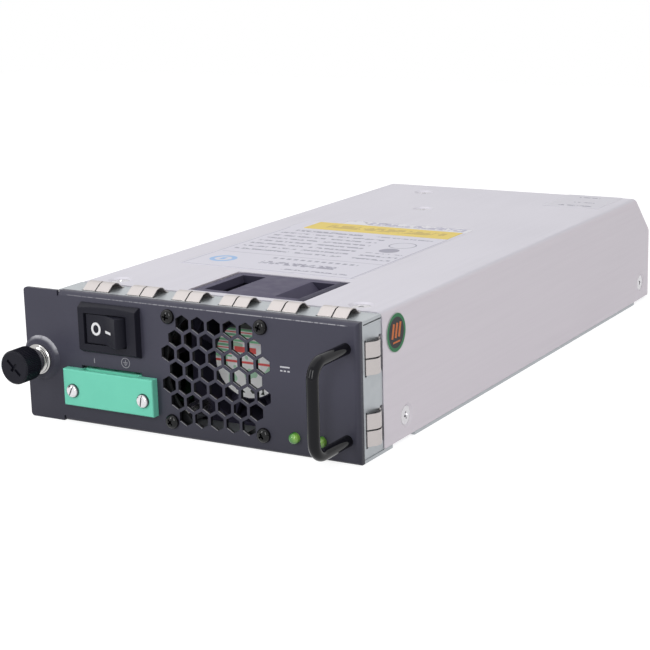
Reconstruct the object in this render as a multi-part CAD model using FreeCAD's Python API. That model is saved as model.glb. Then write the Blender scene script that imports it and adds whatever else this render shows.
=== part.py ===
import FreeCAD, Part
import math
import os
from FreeCAD import Vector

# Hot-swap power supply module for a network switch, direct-current input.
# Working frame: X to the right seen from the front, Y into the depth, Z up.
# x = 0 is the fan axis, y = 0 the front face of the panel, z = 0 the underside.

# Overall size, in millimetres
HEIGHT = 41.2
BODY_WIDTH = 106.0
BODY_DEPTH = 233.0
FLANGE_WIDTH = 11.6
BODY_RIGHT = 47.7
BODY_LEFT = BODY_RIGHT - BODY_WIDTH
BODY_MID = BODY_RIGHT - BODY_WIDTH / 2
PANEL_LEFT = BODY_LEFT - FLANGE_WIDTH

# Fits: a close fit of fixed pieces, a clear hole, and the gap of a moving piece
CLOSE = 0.02
CLEAR = 0.1
RUNNING_GAP = 0.05
TOLERANCE = 1e-4
MITRED = 1
TURN_SIDES = 24

# Sheet metal
SHEET = 1.0
PANEL_SHEET = 1.2
PANEL_RETURN = 2.6
PANEL_BEND = 1.5
RELIEF_X = BODY_LEFT + 1.7
RELIEF_WIDTH = 0.6
RELIEF_HEIGHT = 1.7
FLANGE_ROUND = 1.2
FRAME_FRONT = 2.65
FRAME_REAR = 14.0
FRAME_STEP = 0.25
FRAME_TOP = HEIGHT - FRAME_STEP
TONGUE_REAR = 26.0
TONGUE_ROOT = FRAME_REAR - 1.8
TONGUE_GAP = 1.5
TONGUE_INSET = 4.0
JOGGLE = 0.35
JOGGLE_FALL = 0.85
SEAM = 0.3
COVER_FRONT = 14.2
COVER_BEND = 1.8
COVER_FOOT = SHEET + RUNNING_GAP
SLOPE_TOP_Y = 219.6
SLOPE_FOOT_Z = 28.7
SLOPE_BEND = 4.0
TRAY_REAR = 231.7
TRAY_BEND = 0.9
TAB_WIDTH = 13.9
TAB_TOP = 13.0
TAB_OFFSET = 2.0
TAB_INSET = SHEET + RUNNING_GAP
REAR_WALL = (231.75, 232.75)
REAR_WALL_TOP = 26.8
REAR_FOOT = 11.0
REAR_SCREW_STEP = 80.0
VENT_ROWS = (18.2, 23.0)
VENT_COUNT = 10
VENT_STEP = 9.0

# Fan and its grille
FAN_SIZE = 40.0
FAN_DEPTH = 28.0
FAN_FRONT = 17.4
FAN_REAR = FAN_FRONT + FAN_DEPTH
FAN_X = 0.0
FAN_Z = SHEET + FAN_SIZE / 2
FAN_SCREW_STEP = 32.0
FAN_BORE = 19.0
BORE_SIDES = 48
FAN_FLANGE = 3.2
FAN_CORNER = 1.0
FAN_RAIL = 3.4
FAN_SPACER = 2.9
BARREL_SIDES = 8
FAN_OPENING_GAP = 0.25
HUB_RADIUS = 12.0
HUB_SPAN = (FAN_FRONT + 0.4, FAN_FRONT + 3.0)
LABEL_SHEET = 0.2
LABEL_SIDES = 32
LABEL_MARGIN = 0.5
STRUT_SPAN = (FAN_FRONT + 0.8, FAN_FRONT + 2.8)
STRUT_ANGLES = (20, 110, 200, 290)
STRUT_WIDTH = 2.0
STRUT_LAP = 0.4
SHAFT_RADIUS = 1.5
BEARING_FRONT = FAN_FRONT + 1.0
ROTOR_SPAN = (FAN_FRONT + 3.3, FAN_REAR - 1.0)
BLADE_SPAN = (FAN_FRONT + 5.0, FAN_FRONT + 21.0)
BLADE_TIP = 18.3
BLADE_SWEEP = 11.0
BLADE_SHEET = 1.3
BLADE_COUNT = 7
ROTOR_SIDES = 4 * BLADE_COUNT
ROTOR_CHAMFER = 1.0
HEX_ROWS = (5, 6, 7, 6, 7, 6, 5)
HEX_PITCH = 5.5
HEX_FLATS = 4.55
HEX_ROW_STEP = HEX_PITCH * math.sqrt(3) / 2

# Rocker switch
SWITCH_X = -37.7
SWITCH_Z = 30.9
BEZEL_SHIFT = 0.9
BEZEL_WIDTH = 21.8
BEZEL_HEIGHT = 15.4
BEZEL_FOOT = 0.4
BEZEL_RIM = 2.5
BEZEL_DIP = 1.8
BEZEL_DRAFT = 0.3
BEZEL_SLOPE = 0.55
SWITCH_BODY = (19.0, 12.9)
SWITCH_DEPTH = 15.0
ROCKER_TIP = 7.5
ROCKER_HEIGHT = 9.1
ROCKER_SLOT = (15.5, 9.5)
ROCKER_SLOT_FLOOR = 4.6
ROCKER_TIP_ANGLE = 26.0
ROCKER_THROW = 14.0
ROCKER_FLOOR = 2.4
TRUNNION_RADIUS = 1.2
TRUNNION_LENGTH = 1.0
BLADE_TERMINAL = (0.8, 8.0, 4.8)
BLADE_TERMINAL_STEP = 10.0

# Terminal plug and its header
PLUG_X = -37.6
PLUG_WIDTH = 33.4
PLUG_PROUD = 2.7
PLUG_Z = (6.1, 17.6)
PLUG_ROUND = 0.5
PLUG_BODY_WIDTH = 22.4
PLUG_BODY_Z = (PLUG_Z[0] + 0.8, PLUG_Z[1] - 0.1)
PLUG_BODY_REAR = 7.6
SCOOP_WIDTH = 20.4
SCOOP_Y = (-1.7, 1.0)
SCOOP_DEPTH = 1.2
WELL_RADIUS = 2.0
WELL_Y = 4.2
WELL_DEPTH = 3.0
PLUG_SCREW_STEP = 26.2
PLUG_SCREW_Z = 11.0
TERMINAL_PITCH = 7.62
TERMINAL_COUNT = 3
CUTOUT_WIDTH = 22.6
CUTOUT_Z = (PLUG_Z[0] + 0.6, 18.6)
HEADER_REAR = 20.0
HEADER_WINDOW = (4.0, 3.0, 2.0)
HEADER_WINDOW_Y = 15.0
PIN_SIZE = 1.2
PIN_LENGTH = 2.4
PIN_Y = 12.0

# Indicators, handle and thumbscrew
LED_PLACES = (26.5, 35.2)
LED_Z = 5.6
LED_RADIUS = 1.65
LED_SHOULDER = -0.4
LED_DOME = (0.2, 0.7, 1.15)
LED_SIDES = 12
LED_REAR = 7.0
LED_BOARD = 1.2
LED_BOARD_EDGE = 4.0
HANDLE_X = 43.7
HANDLE_Z = 20.3
HANDLE_STEP = 26.6
HANDLE_REACH = 18.2
HANDLE_ROD = 1.75
HANDLE_SIDES = 12
HANDLE_BEND = 4.8
HANDLE_STEPS = 5
HANDLE_SCREW = 1.2
HANDLE_SCREW_TIP = 8.0
THUMB_X = -64.4
THUMB_Z = 19.2
BOSS_BASE = 7.2
BOSS_TOP = 6.0
BOSS_RISE = 1.2
BOSS_WALL = 0.6
FERRULE_SPIGOT = 2.98
FERRULE_FLANGE = (4.7, -2.0)
FERRULE_COLLAR = (4.3, -2.7)
FERRULE_NECK = (3.6, -3.2)
FERRULE_BODY = 3.92
FERRULE_CHAMFER = 0.2
FERRULE_FRONT = -6.9
FERRULE_FIT = 0.07
KNOB_RADIUS = 5.3
KNOB_BORE = 4.25
KNOB_FRONT = -13.4
KNOB_REAR = -6.6
KNOB_FLOOR = -11.7
KNOB_EDGE = 0.6
KNOB_SOCKET = 0.7
KNOB_CROSS = (5.6, 0.9, 0.7)
KNOB_CROSS_TURN = 35
SHANK_RADIUS = 1.25
THREAD_RADIUS = 1.5
THREAD_SPAN = (1.7, 7.2)
THREAD_CHAMFER = 0.6
SPRING_MEAN = 2.75
SPRING_WIRE = 0.5
SPRING_TURNS = 3
SPRING_STEPS = 10

# Contact fingers between the module and its bay
FINGER_WIDTH = 9.5
FINGER_SLOT = 0.45
FINGER_SHEET = 0.25
FINGER_RISE = 2.3
FINGER_LEG = 0.7
FINGER_FEET = (4.9, 12.0)
FINGER_TAIL = 12.6
FINGER_STEPS = 6
FINGER_HOLE_Y = (4.1, 5.25)
FINGER_NOTCH_Y = 12.5
FINGER_MARGIN = 0.5
TOP_FINGER_START = -45.5
TOP_FINGER_STEP = 16.5
TOP_FINGER_COUNT = 6
SIDE_FINGER_Z = (30.0, 9.2)

# Small screws, which repeat and so are twelve-sided
PEG_SIDES = 12
COVER_SCREW_HEAD = 2.9
COVER_SCREW_NECK = 1.8
COVER_SCREW_SHANK = 1.4
TOP_SCREW_LENGTH = 5.0
SIDE_SCREW_LENGTH = 3.6
FRONT_SCREW_Y = 20.4
FRONT_SCREW_STEP = 85.6
TOP_SCREWS = ((-43.0, 122.4), (-18.6, 169.8), (-35.6, 204.0))
SIDE_SCREW_Y = (28.2, 224.9)
SIDE_SCREW_Z = 7.4
FAN_SCREW_HEAD = 2.8
FAN_SCREW_TIP = FAN_FRONT + 3.0
PLUG_SCREW_HEAD = 2.2
PLUG_SCREW_TIP = FRAME_FRONT + SHEET + 1.5
HANDLE_SCREW_HEAD = 2.0
BOARD_SCREW_HEAD = 2.7
BOARD_SCREW_TIP = 2.5
PAN_RISE = 0.6
PAN_RIM = 0.24
PAN_CROWN = 0.65

# Circuit board and what stands on it
BOARD_BASE = 6.0
BOARD_SHEET = 1.6
BOARD_TOP = BOARD_BASE + BOARD_SHEET
BOARD_X = (-54.0, 43.0)
BOARD_Y = (52.0, 226.0)
BOARD_ARM_X = (-54.0, -22.5)
BOARD_ARM_Y = (8.0, 52.0)
BOARD_PLACES = ((-50.0, 40.0), (-50.0, 200.0), (39.0, 60.0), (39.0, 200.0))
STANDOFF_RADIUS = 3.0
STANDOFF_SIDES = 6
BOARD_SCREW = 1.45
FILM_X = (-46.0, 35.0)
FILM_SHEET = 0.3
EDGE_WIDTH = 52.0
EDGE_REAR = 242.0
EDGE_ROUND = 0.5
EDGE_MARGIN = 1.5
EDGE_PADS = 13
EDGE_PAD = (2.6, 7.0, 0.1)
WINDOW_MARGIN = 3.0
CAN_SIDES = 16
INPUT_CAN = (9.0, 30.0)
INPUT_CAN_PLACES = ((-40.0, 72.0), (-19.5, 72.0))
OUTPUT_CAN = (5.0, 20.0)
OUTPUT_CAN_PLACES = ((-46.0, 186.0), (-34.0, 186.0), (-22.0, 186.0))
CORE_PLACE = (6.0, 125.0)
CORE_SIZE = (36.0, 30.0, 28.0)
CORE_YOKE = 5.0
CORE_WINDOW = 8.0
CORE_WINDOW_STEP = 21.0
COIL_SIZE = (28.6, 45.0)
COIL_LEG = (13.2, 30.2)
COIL_ROUND = 4.0
CHOKE_PLACE = (-36.0, 150.0)
CHOKE_SIZE = (24.0, 22.0, 24.0)
CHOKE_ROUND = 3.0
SINK_X = (27.0, 40.0)
SINK_HEIGHT = 29.0
SINK_BACK = 3.0
SINK_FOOT = 4.0
PRIMARY_SINK_Y = (72.0, 126.0)
SECONDARY_SINK_Y = (142.0, 194.0)
FIN_STEP = 7.0
FIN_GAP = 5.4
TRANSISTOR_SIZE = (4.6, 15.0, 20.0)
TRANSISTOR_Y = (82.0, 102.0, 152.0, 176.0)
TRANSISTOR_LIFT = 3.0
SPREADER_X = (-50.0, -11.0)
SPREADER_Y = (115.0, 212.0)
SPREADER_SHEET = 3.0

FORWARD = Vector(0, -1, 0)
REARWARD = Vector(0, 1, 0)
UP = Vector(0, 0, 1)
DOWN = Vector(0, 0, -1)


# Blocks, rods, prisms and turned forms

def span(middle, size):
    return (middle - size / 2, middle + size / 2)


def block(x, y, z):
    return Part.makeBox(x[1] - x[0], y[1] - y[0], z[1] - z[0], Vector(x[0], y[0], z[0]))


def rod_y(radius, x, z, y):
    return Part.makeCylinder(radius, y[1] - y[0], Vector(x, y[0], z), REARWARD)


def rod_z(radius, x, y, z):
    return Part.makeCylinder(radius, z[1] - z[0], Vector(x, y, z[0]))


def flat_face(points):
    return Part.Face(Part.makePolygon(points + points[:1]))


def prism(points, along):
    return flat_face(points).extrude(along)


def revolved(profile, x, z):
    face = flat_face([Vector(x + r, y, z) for r, y in profile])
    return face.revolve(Vector(x, 0, z), REARWARD, 360)


def turned(profile, x, z):
    angles = [2 * math.pi * k / TURN_SIDES for k in range(TURN_SIDES)]
    rings = [[Vector(x + r * math.cos(a), y, z + r * math.sin(a)) for a in angles] for r, y in profile]
    faces = []
    for one, two in zip(rings, rings[1:] + rings[:1]):
        quads = [(one[k - 1], one[k], two[k], two[k - 1]) for k in range(TURN_SIDES)]
        corners = [[p for i, p in enumerate(quad) if not p.isEqual(quad[i - 1], TOLERANCE)] for quad in quads]
        faces += [flat_face(points) for points in corners if len(points) > 2]
    solid = Part.makeSolid(Part.makeShell(faces)).removeSplitter()
    return solid if solid.Volume > 0 else solid.reversed()


def on_line(edge, **place):
    box = edge.BoundBox
    low = {"x": box.XMin, "y": box.YMin, "z": box.ZMin}
    high = {"x": box.XMax, "y": box.YMax, "z": box.ZMax}
    return all(abs(low[k] - v) < TOLERANCE and abs(high[k] - v) < TOLERANCE for k, v in place.items())


def rounded(shape, radius, *lines):
    edges = [e for e in shape.Edges if any(on_line(e, **line) for line in lines)]
    return shape.makeFillet(radius, edges)


def joined(shapes):
    return shapes[0].fuse(shapes[1:]).removeSplitter()


def standing_in(shape, place, axis):
    turn = FreeCAD.Rotation(UP, axis)
    return shape.transformed(FreeCAD.Placement(place, turn).toMatrix())


# Many-sided pegs and screws, made upright: a head lies above z = 0 and its shank below

def ring_points(radius, z, sides=PEG_SIDES):
    turns = [2 * math.pi * k / sides for k in range(sides)]
    return [Vector(radius * math.cos(a), radius * math.sin(a), z) for a in turns]


def ring(radius, z, sides=PEG_SIDES):
    points = ring_points(radius, z, sides)
    return Part.makePolygon(points + points[:1])


def peg(radius, z, sides=PEG_SIDES):
    return prism(ring_points(radius, z[0], sides), Vector(0, 0, z[1] - z[0]))


def tapered_peg(low, high, z, sides=PEG_SIDES):
    base = ring_points(low, z[0], sides)
    top = ring_points(high, z[1], sides)
    faces = [flat_face(base[::-1]), flat_face(top)]
    faces += [flat_face([base[k - 1], base[k], top[k], top[k - 1]]) for k in range(sides)]
    return Part.makeSolid(Part.makeShell(faces))


def stacked_peg(profile, x, z, sides):
    steps = [tapered_peg(a[0], b[0], (a[1], b[1]), sides) for a, b in zip(profile, profile[1:])]
    return standing_in(joined(steps), Vector(x, 0, z), REARWARD)


def peg_y(radius, x, z, y, sides=PEG_SIDES):
    return standing_in(peg(radius, y, sides), Vector(x, 0, z), REARWARD)


def peg_z(radius, x, y, z, sides=PEG_SIDES):
    return standing_in(peg(radius, z, sides), Vector(x, y, 0), UP)


def countersunk(length, clearance=0.0):
    head = tapered_peg(COVER_SCREW_NECK + clearance, COVER_SCREW_HEAD + clearance, (-SHEET, 0))
    return head.fuse(peg(COVER_SCREW_SHANK + clearance, (-length, 0)))


def pan_screw(head, shank, length):
    rim = head * PAN_RIM
    crown = tapered_peg(head, head * PAN_CROWN, (rim, head * PAN_RISE))
    return joined([peg(head, (0, rim)), crown, peg(shank, (-length, 0))])


# Places that several pieces share

def fan_corners():
    return [(x, z) for x in span(FAN_X, FAN_SCREW_STEP) for z in span(FAN_Z, FAN_SCREW_STEP)]


def handle_ends():
    return [(HANDLE_X, z) for z in span(HANDLE_Z, HANDLE_STEP)]


def plug_screw_places():
    return [(x, PLUG_SCREW_Z) for x in span(PLUG_X, PLUG_SCREW_STEP)]


def terminal_places():
    return [PLUG_X + (k - (TERMINAL_COUNT - 1) / 2) * TERMINAL_PITCH for k in range(TERMINAL_COUNT)]


def front_screw_places():
    return [(x, FRONT_SCREW_Y) for x in span(BODY_MID, FRONT_SCREW_STEP)]


def top_screw_places():
    return front_screw_places() + list(TOP_SCREWS)


def top_finger_places():
    return [TOP_FINGER_START + k * TOP_FINGER_STEP for k in range(TOP_FINGER_COUNT)]


def side_screw_places():
    sides = ((BODY_LEFT, Vector(-1, 0, 0)), (BODY_RIGHT, Vector(1, 0, 0)))
    return [(Vector(x, y, SIDE_SCREW_Z), outward) for x, outward in sides for y in SIDE_SCREW_Y]


def rear_screw_places():
    return [(x, REAR_WALL[0] - REAR_FOOT / 2) for x in span(BODY_MID, REAR_SCREW_STEP)]


def screw_shank_hole(x, y):
    return peg_z(COVER_SCREW_SHANK + CLOSE, x, y, (HEIGHT / 2, HEIGHT + 1))


# Front panel: folded sheet with returns, flange, formed boss and grille

def hexagon(x, z, y):
    radius = HEX_FLATS / math.sqrt(3)
    corners = [math.radians(90 + 60 * k) for k in range(6)]
    points = [Vector(x + radius * math.cos(a), y[0], z + radius * math.sin(a)) for a in corners]
    return prism(points, Vector(0, y[1] - y[0], 0))


def grille_holes(y):
    holes = []
    for row, count in enumerate(HEX_ROWS):
        z = FAN_Z + (len(HEX_ROWS) // 2 - row) * HEX_ROW_STEP
        holes += [hexagon(FAN_X + (k - (count - 1) / 2) * HEX_PITCH, z, y) for k in range(count)]
    return holes


def folded_pan():
    pan = block((RELIEF_X, BODY_RIGHT), (0, PANEL_RETURN), (0, HEIGHT))
    pan = rounded(pan, PANEL_BEND, {"y": 0, "z": HEIGHT}, {"y": 0, "z": 0}, {"x": BODY_RIGHT, "y": 0})
    inside = block((RELIEF_X - 1, BODY_RIGHT - PANEL_SHEET), (PANEL_SHEET, PANEL_RETURN + 1),
                   (PANEL_SHEET, HEIGHT - PANEL_SHEET))
    flange = block((PANEL_LEFT, RELIEF_X), (0, PANEL_SHEET), (0, HEIGHT))
    flange = rounded(flange, FLANGE_ROUND, *[{"x": PANEL_LEFT, "z": z} for z in (0, HEIGHT)])
    return joined([pan.cut(inside), flange])


def with_boss(panel):
    outer = [(0, PANEL_SHEET), (BOSS_BASE, PANEL_SHEET), (BOSS_BASE, 0)]
    outer += [(BOSS_TOP, -BOSS_RISE), (0, -BOSS_RISE)]
    hollow_base = BOSS_BASE - BOSS_WALL
    hollow_floor = PANEL_SHEET - BOSS_RISE
    hollow = [(0, PANEL_SHEET + 1), (hollow_base, PANEL_SHEET + 1), (hollow_base, PANEL_SHEET)]
    hollow += [(BOSS_TOP - BOSS_WALL, hollow_floor), (0, hollow_floor)]
    overhang = block((PANEL_LEFT - BOSS_BASE, PANEL_LEFT), (-5, 5), (0, HEIGHT))
    boss = turned(outer, THUMB_X, THUMB_Z)
    return panel.fuse(boss).cut([turned(hollow, THUMB_X, THUMB_Z), overhang])


def wall_holes(y, switch_gap):
    wide, high = SWITCH_BODY
    holes = [block(span(SWITCH_X, wide + switch_gap), y, span(SWITCH_Z, high + switch_gap))]
    holes.append(block(span(PLUG_X, CUTOUT_WIDTH), y, CUTOUT_Z))
    holes += [peg_y(THREAD_RADIUS + CLEAR, x, z, y) for x, z in fan_corners() + plug_screw_places()]
    return holes + [peg_y(HANDLE_SCREW + CLEAR, x, z, y) for x, z in handle_ends()]


def front_panel():
    through = (-5, PANEL_RETURN + 1)
    slit = span(RELIEF_X, RELIEF_WIDTH)
    cuts = [block(slit, through, (HEIGHT - RELIEF_HEIGHT, HEIGHT + 1))]
    cuts.append(block(slit, through, (-1, RELIEF_HEIGHT)))
    cuts += grille_holes(through) + wall_holes(through, 2 * CLEAR)
    cuts += [rod_y(LED_RADIUS + RUNNING_GAP, x, LED_Z, through) for x in LED_PLACES]
    cuts.append(rod_y(FERRULE_SPIGOT + CLOSE, THUMB_X, THUMB_Z, through))
    return with_boss(folded_pan()).cut(cuts)


# Galvanised frame behind the panel, with tongues that reach under the cover

def frame_tongue(x):
    top = HEIGHT - SHEET - RUNNING_GAP
    low = top - SHEET
    root = TONGUE_ROOT
    rear = FRAME_REAR - CLEAR
    joggle = top + JOGGLE
    outline = [(root, low + JOGGLE_FALL), (root + SHEET, low), (TONGUE_REAR, low), (TONGUE_REAR, top)]
    outline += [(rear, top), (rear, joggle), (root, joggle)]
    return prism([Vector(x[0], y, z) for y, z in outline], Vector(x[1] - x[0], 0, 0))


def frame_shell():
    x = span(BODY_MID, BODY_WIDTH - 2 * FRAME_STEP)
    shell = block(x, (FRAME_FRONT, FRAME_REAR), (SHEET, FRAME_TOP))
    seam_y = (FRAME_FRONT + SHEET, FRAME_REAR + 1)
    inside = block((x[0] + SHEET, x[1] - SHEET), seam_y, (2 * SHEET, FRAME_TOP - SHEET))
    seam_z = (FRAME_TOP - SHEET - SEAM, FRAME_TOP - SHEET)
    seams = [block((edge - SHEET, edge + SHEET), seam_y, seam_z) for edge in x]
    return shell.cut([inside] + seams)


def finger_holes():
    edges = span(BODY_MID, BODY_WIDTH - 2 * FRAME_STEP)
    width = FINGER_WIDTH + 2 * FINGER_MARGIN
    roof = (FRAME_TOP - SHEET, FRAME_TOP + SHEET)
    holes = [block(span(x, width), FINGER_HOLE_Y, roof) for x in top_finger_places()]
    for z in SIDE_FINGER_Z:
        for y in (FINGER_HOLE_Y, (FINGER_NOTCH_Y, FRAME_REAR + 1)):
            holes += [block(span(edge, 2 * SHEET), y, span(z, width)) for edge in edges]
    return holes


def front_frame():
    fan_left, fan_right = span(FAN_X, FAN_SIZE + 2 * TONGUE_GAP)
    tongues = [(BODY_LEFT + TONGUE_INSET, fan_left), (fan_right, BODY_RIGHT - TONGUE_INSET)]
    frame = joined([frame_shell()] + [frame_tongue(x) for x in tongues])
    through = (FRAME_FRONT - 1, FRAME_FRONT + SHEET + 0.5)
    cuts = wall_holes(through, 8 * CLEAR) + [peg_y(FAN_BORE, FAN_X, FAN_Z, through, BORE_SIDES)]
    cuts += [peg_y(LED_RADIUS + 3 * CLEAR, x, LED_Z, through) for x in LED_PLACES]
    cuts += [screw_shank_hole(x, y) for x, y in front_screw_places()]
    return frame.cut(cuts + finger_holes())


# Cover: one folded sheet, top and sides, with a sloped rear flap

def cover_block():
    outline = [(COVER_FRONT, COVER_FOOT), (COVER_FRONT, HEIGHT), (SLOPE_TOP_Y, HEIGHT),
               (BODY_DEPTH, SLOPE_FOOT_Z), (BODY_DEPTH, COVER_FOOT)]
    solid = prism([Vector(BODY_LEFT, y, z) for y, z in outline], Vector(BODY_WIDTH, 0, 0))
    return rounded(solid, SLOPE_BEND, {"y": SLOPE_TOP_Y, "z": HEIGHT})


def along_roof(edge):
    box = edge.BoundBox
    return box.XLength < TOLERANCE and box.YLength > 1 and box.ZMin > SLOPE_FOOT_Z - TOLERANCE


def folded_cover():
    solid = cover_block()
    solid = solid.makeFillet(COVER_BEND, [e for e in solid.Edges if along_roof(e)])
    open_sides = (FORWARD, REARWARD, DOWN)
    faces = [f for f in solid.Faces if any((f.normalAt(0, 0) - n).Length < TOLERANCE for n in open_sides)]
    return solid.makeThickness(faces, -SHEET, TOLERANCE)


def top_cover():
    opening = block(span(FAN_X, FAN_SIZE + 2 * FAN_OPENING_GAP),
                    (FAN_FRONT - FAN_OPENING_GAP, FAN_REAR + FAN_OPENING_GAP), (HEIGHT - 5, HEIGHT + 1))
    sunk = countersunk(TOP_SCREW_LENGTH, 2 * CLOSE)
    holes = [standing_in(sunk, Vector(x, y, HEIGHT), UP) for x, y in top_screw_places()]
    holes += [standing_in(sunk, place, outward) for place, outward in side_screw_places()]
    return folded_cover().cut([opening] + holes)


def cover_top_screws():
    screw = countersunk(TOP_SCREW_LENGTH)
    return [standing_in(screw, Vector(x, y, HEIGHT), UP) for x, y in top_screw_places()]


def cover_side_screws():
    screw = countersunk(SIDE_SCREW_LENGTH)
    return [standing_in(screw, place, outward) for place, outward in side_screw_places()]


# Tray: floor with a lip under the cover and four folded screw tabs

def tab_spans():
    front = span(SIDE_SCREW_Y[0] - TAB_OFFSET, TAB_WIDTH)
    return (front, (TRAY_REAR - TAB_WIDTH, TRAY_REAR))


def tray_tab(side, y):
    outer = BODY_MID + side * (BODY_WIDTH / 2 - TAB_INSET)
    x = sorted((outer - side * SHEET, outer))
    return rounded(block(x, y, (0, TAB_TOP)), TRAY_BEND, {"x": outer, "z": 0})


def bottom_tray():
    floor = block((BODY_LEFT, BODY_RIGHT), (FRAME_FRONT, TRAY_REAR), (0, SHEET))
    notch = TAB_INSET + SHEET
    notches = []
    tabs = []
    for y in tab_spans():
        for side, edge in ((-1, BODY_LEFT), (1, BODY_RIGHT)):
            notches.append(block((edge - notch, edge + notch), y, (-1, SHEET + 1)))
            tabs.append(tray_tab(side, y))
    shank = peg(COVER_SCREW_SHANK + CLOSE, (-2 * SIDE_SCREW_LENGTH, 0))
    holes = [standing_in(shank, place, outward) for place, outward in side_screw_places()]
    sunk = countersunk(TOP_SCREW_LENGTH, 2 * CLOSE)
    holes += [standing_in(sunk, Vector(x, y, 0), DOWN) for x, y in rear_screw_places()]
    return joined([floor.cut(notches)] + tabs).cut(holes)


# Rear wall with air holes and a window for the board's contact edge

def rear_panel():
    through = (REAR_WALL[0] - 1, REAR_WALL[1] + 1)
    inner = span(BODY_MID, BODY_WIDTH - 2 * (SHEET + CLEAR))
    wall = block(inner, REAR_WALL, (SHEET, REAR_WALL_TOP))
    foot_x = (inner[0] + TONGUE_INSET, inner[1] - TONGUE_INSET)
    foot = block(foot_x, (REAR_WALL[0] - REAR_FOOT, REAR_WALL[1]), (SHEET, 2 * SHEET))
    panel = rounded(joined([wall, foot]), TRAY_BEND, {"y": REAR_WALL[1], "z": SHEET})
    window_z = (BOARD_BASE - WINDOW_MARGIN, BOARD_TOP + WINDOW_MARGIN)
    cuts = [block(span(BODY_MID, EDGE_WIDTH + WINDOW_MARGIN), through, window_z)]
    cuts += [peg_z(COVER_SCREW_SHANK + CLOSE, x, y, (0, 3 * SHEET)) for x, y in rear_screw_places()]
    for row, z in enumerate(VENT_ROWS):
        start = BODY_MID - (VENT_COUNT - 1 - row) * VENT_STEP / 2
        cuts += [hexagon(start + k * VENT_STEP, z, through) for k in range(VENT_COUNT - row)]
    return panel.cut(cuts)


def rear_screws():
    screw = countersunk(TOP_SCREW_LENGTH)
    return [standing_in(screw, Vector(x, y, 0), DOWN) for x, y in rear_screw_places()]


# Contact fingers: a bowed pair on one tail, cut from spring sheet, its front leg hooked into the frame

def bow(start, top, end):
    arc = Part.Arc(Vector(0, *start), Vector(0, *top), Vector(0, *end))
    return arc.toShape().discretize(FINGER_STEPS + 1)


def finger_pair():
    front, rear = FINGER_FEET
    sheet = FINGER_SHEET
    mid = (front + rear) / 2
    outline = bow((front, sheet), (mid, FINGER_RISE), (rear, sheet))
    outline += [Vector(0, FINGER_TAIL, sheet), Vector(0, FINGER_TAIL, 0)]
    outline += bow((rear - sheet, 0), (mid, FINGER_RISE - sheet), (front + sheet, 0))
    outline += [Vector(0, front + sheet, -FINGER_LEG), Vector(0, front, -FINGER_LEG)]
    pair = prism(outline, Vector(FINGER_WIDTH, 0, 0))
    pair.translate(Vector(-FINGER_WIDTH / 2, 0, 0))
    slot = block(span(0, FINGER_SLOT), (front - 1, rear + sheet), (-1, FINGER_RISE + 1))
    return pair.cut(slot)


def top_finger(x):
    pair = finger_pair()
    pair.translate(Vector(x, 0, FRAME_TOP))
    return pair


def side_finger(side, z):
    pair = finger_pair()
    pair.rotate(Vector(0, 0, 0), REARWARD, 90 * side)
    pair.translate(Vector(BODY_MID + side * (BODY_WIDTH / 2 - FRAME_STEP), 0, z))
    return pair


# Pull handle: one bent rod, screwed from behind

def handle_path():
    low, high = (z for _, z in handle_ends())
    centre_y = HANDLE_BEND - HANDLE_REACH
    turns = [math.pi / 2 * k / HANDLE_STEPS for k in range(HANDLE_STEPS + 1)]
    upper = [(centre_y - HANDLE_BEND * math.sin(a), high - HANDLE_BEND * (1 - math.cos(a))) for a in turns]
    lower = [(y, low + high - z) for y, z in reversed(upper)]
    outline = [(0, high)] + upper + lower + [(0, low)]
    return Part.makePolygon([Vector(HANDLE_X, y, z) for y, z in outline])


def pull_handle():
    x, high = handle_ends()[1]
    section = standing_in(ring(HANDLE_ROD, 0, HANDLE_SIDES), Vector(x, 0, high), REARWARD)
    handle = handle_path().makePipeShell([section], True, False, MITRED)
    holes = [peg_y(HANDLE_SCREW + CLOSE, x, z, (-HANDLE_SCREW_TIP - 1, 1)) for x, z in handle_ends()]
    return handle.cut(holes)


def handle_screws():
    seat = FRAME_FRONT + SHEET
    screw = pan_screw(HANDLE_SCREW_HEAD, HANDLE_SCREW, seat + HANDLE_SCREW_TIP)
    return [standing_in(screw, Vector(x, seat, z), REARWARD) for x, z in handle_ends()]


# Rocker switch

def bezel_wave(x, z):
    left, right = Vector(x[0] + BEZEL_DRAFT, -BEZEL_RIM, z[0]), Vector(x[1] - BEZEL_DRAFT, -BEZEL_RIM, z[0])
    dip = Vector((x[0] + x[1]) / 2, -BEZEL_DIP, z[0])
    left_foot, right_foot = Vector(x[0], 0, z[0]), Vector(x[1], 0, z[0])
    edges = [Part.Arc(left, dip, right), Part.LineSegment(right, right_foot),
             Part.LineSegment(right_foot, left_foot), Part.LineSegment(left_foot, left)]
    return Part.Face(Part.Wire([e.toShape() for e in edges])).extrude(Vector(0, 0, z[1] - z[0]))


def switch_bezel():
    x, z = span(SWITCH_X + BEZEL_SHIFT, BEZEL_WIDTH), span(SWITCH_Z, BEZEL_HEIGHT)
    fall = BEZEL_SLOPE * (BEZEL_RIM - BEZEL_FOOT)
    outline = [(0, z[0]), (-BEZEL_FOOT, z[0]), (-BEZEL_RIM, z[0] + fall), (-BEZEL_RIM, z[1] - fall),
               (-BEZEL_FOOT, z[1]), (0, z[1])]
    sloped = prism([Vector(x[0], *point) for point in outline], Vector(x[1] - x[0], 0, 0))
    return bezel_wave(x, z).common(sloped)


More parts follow.
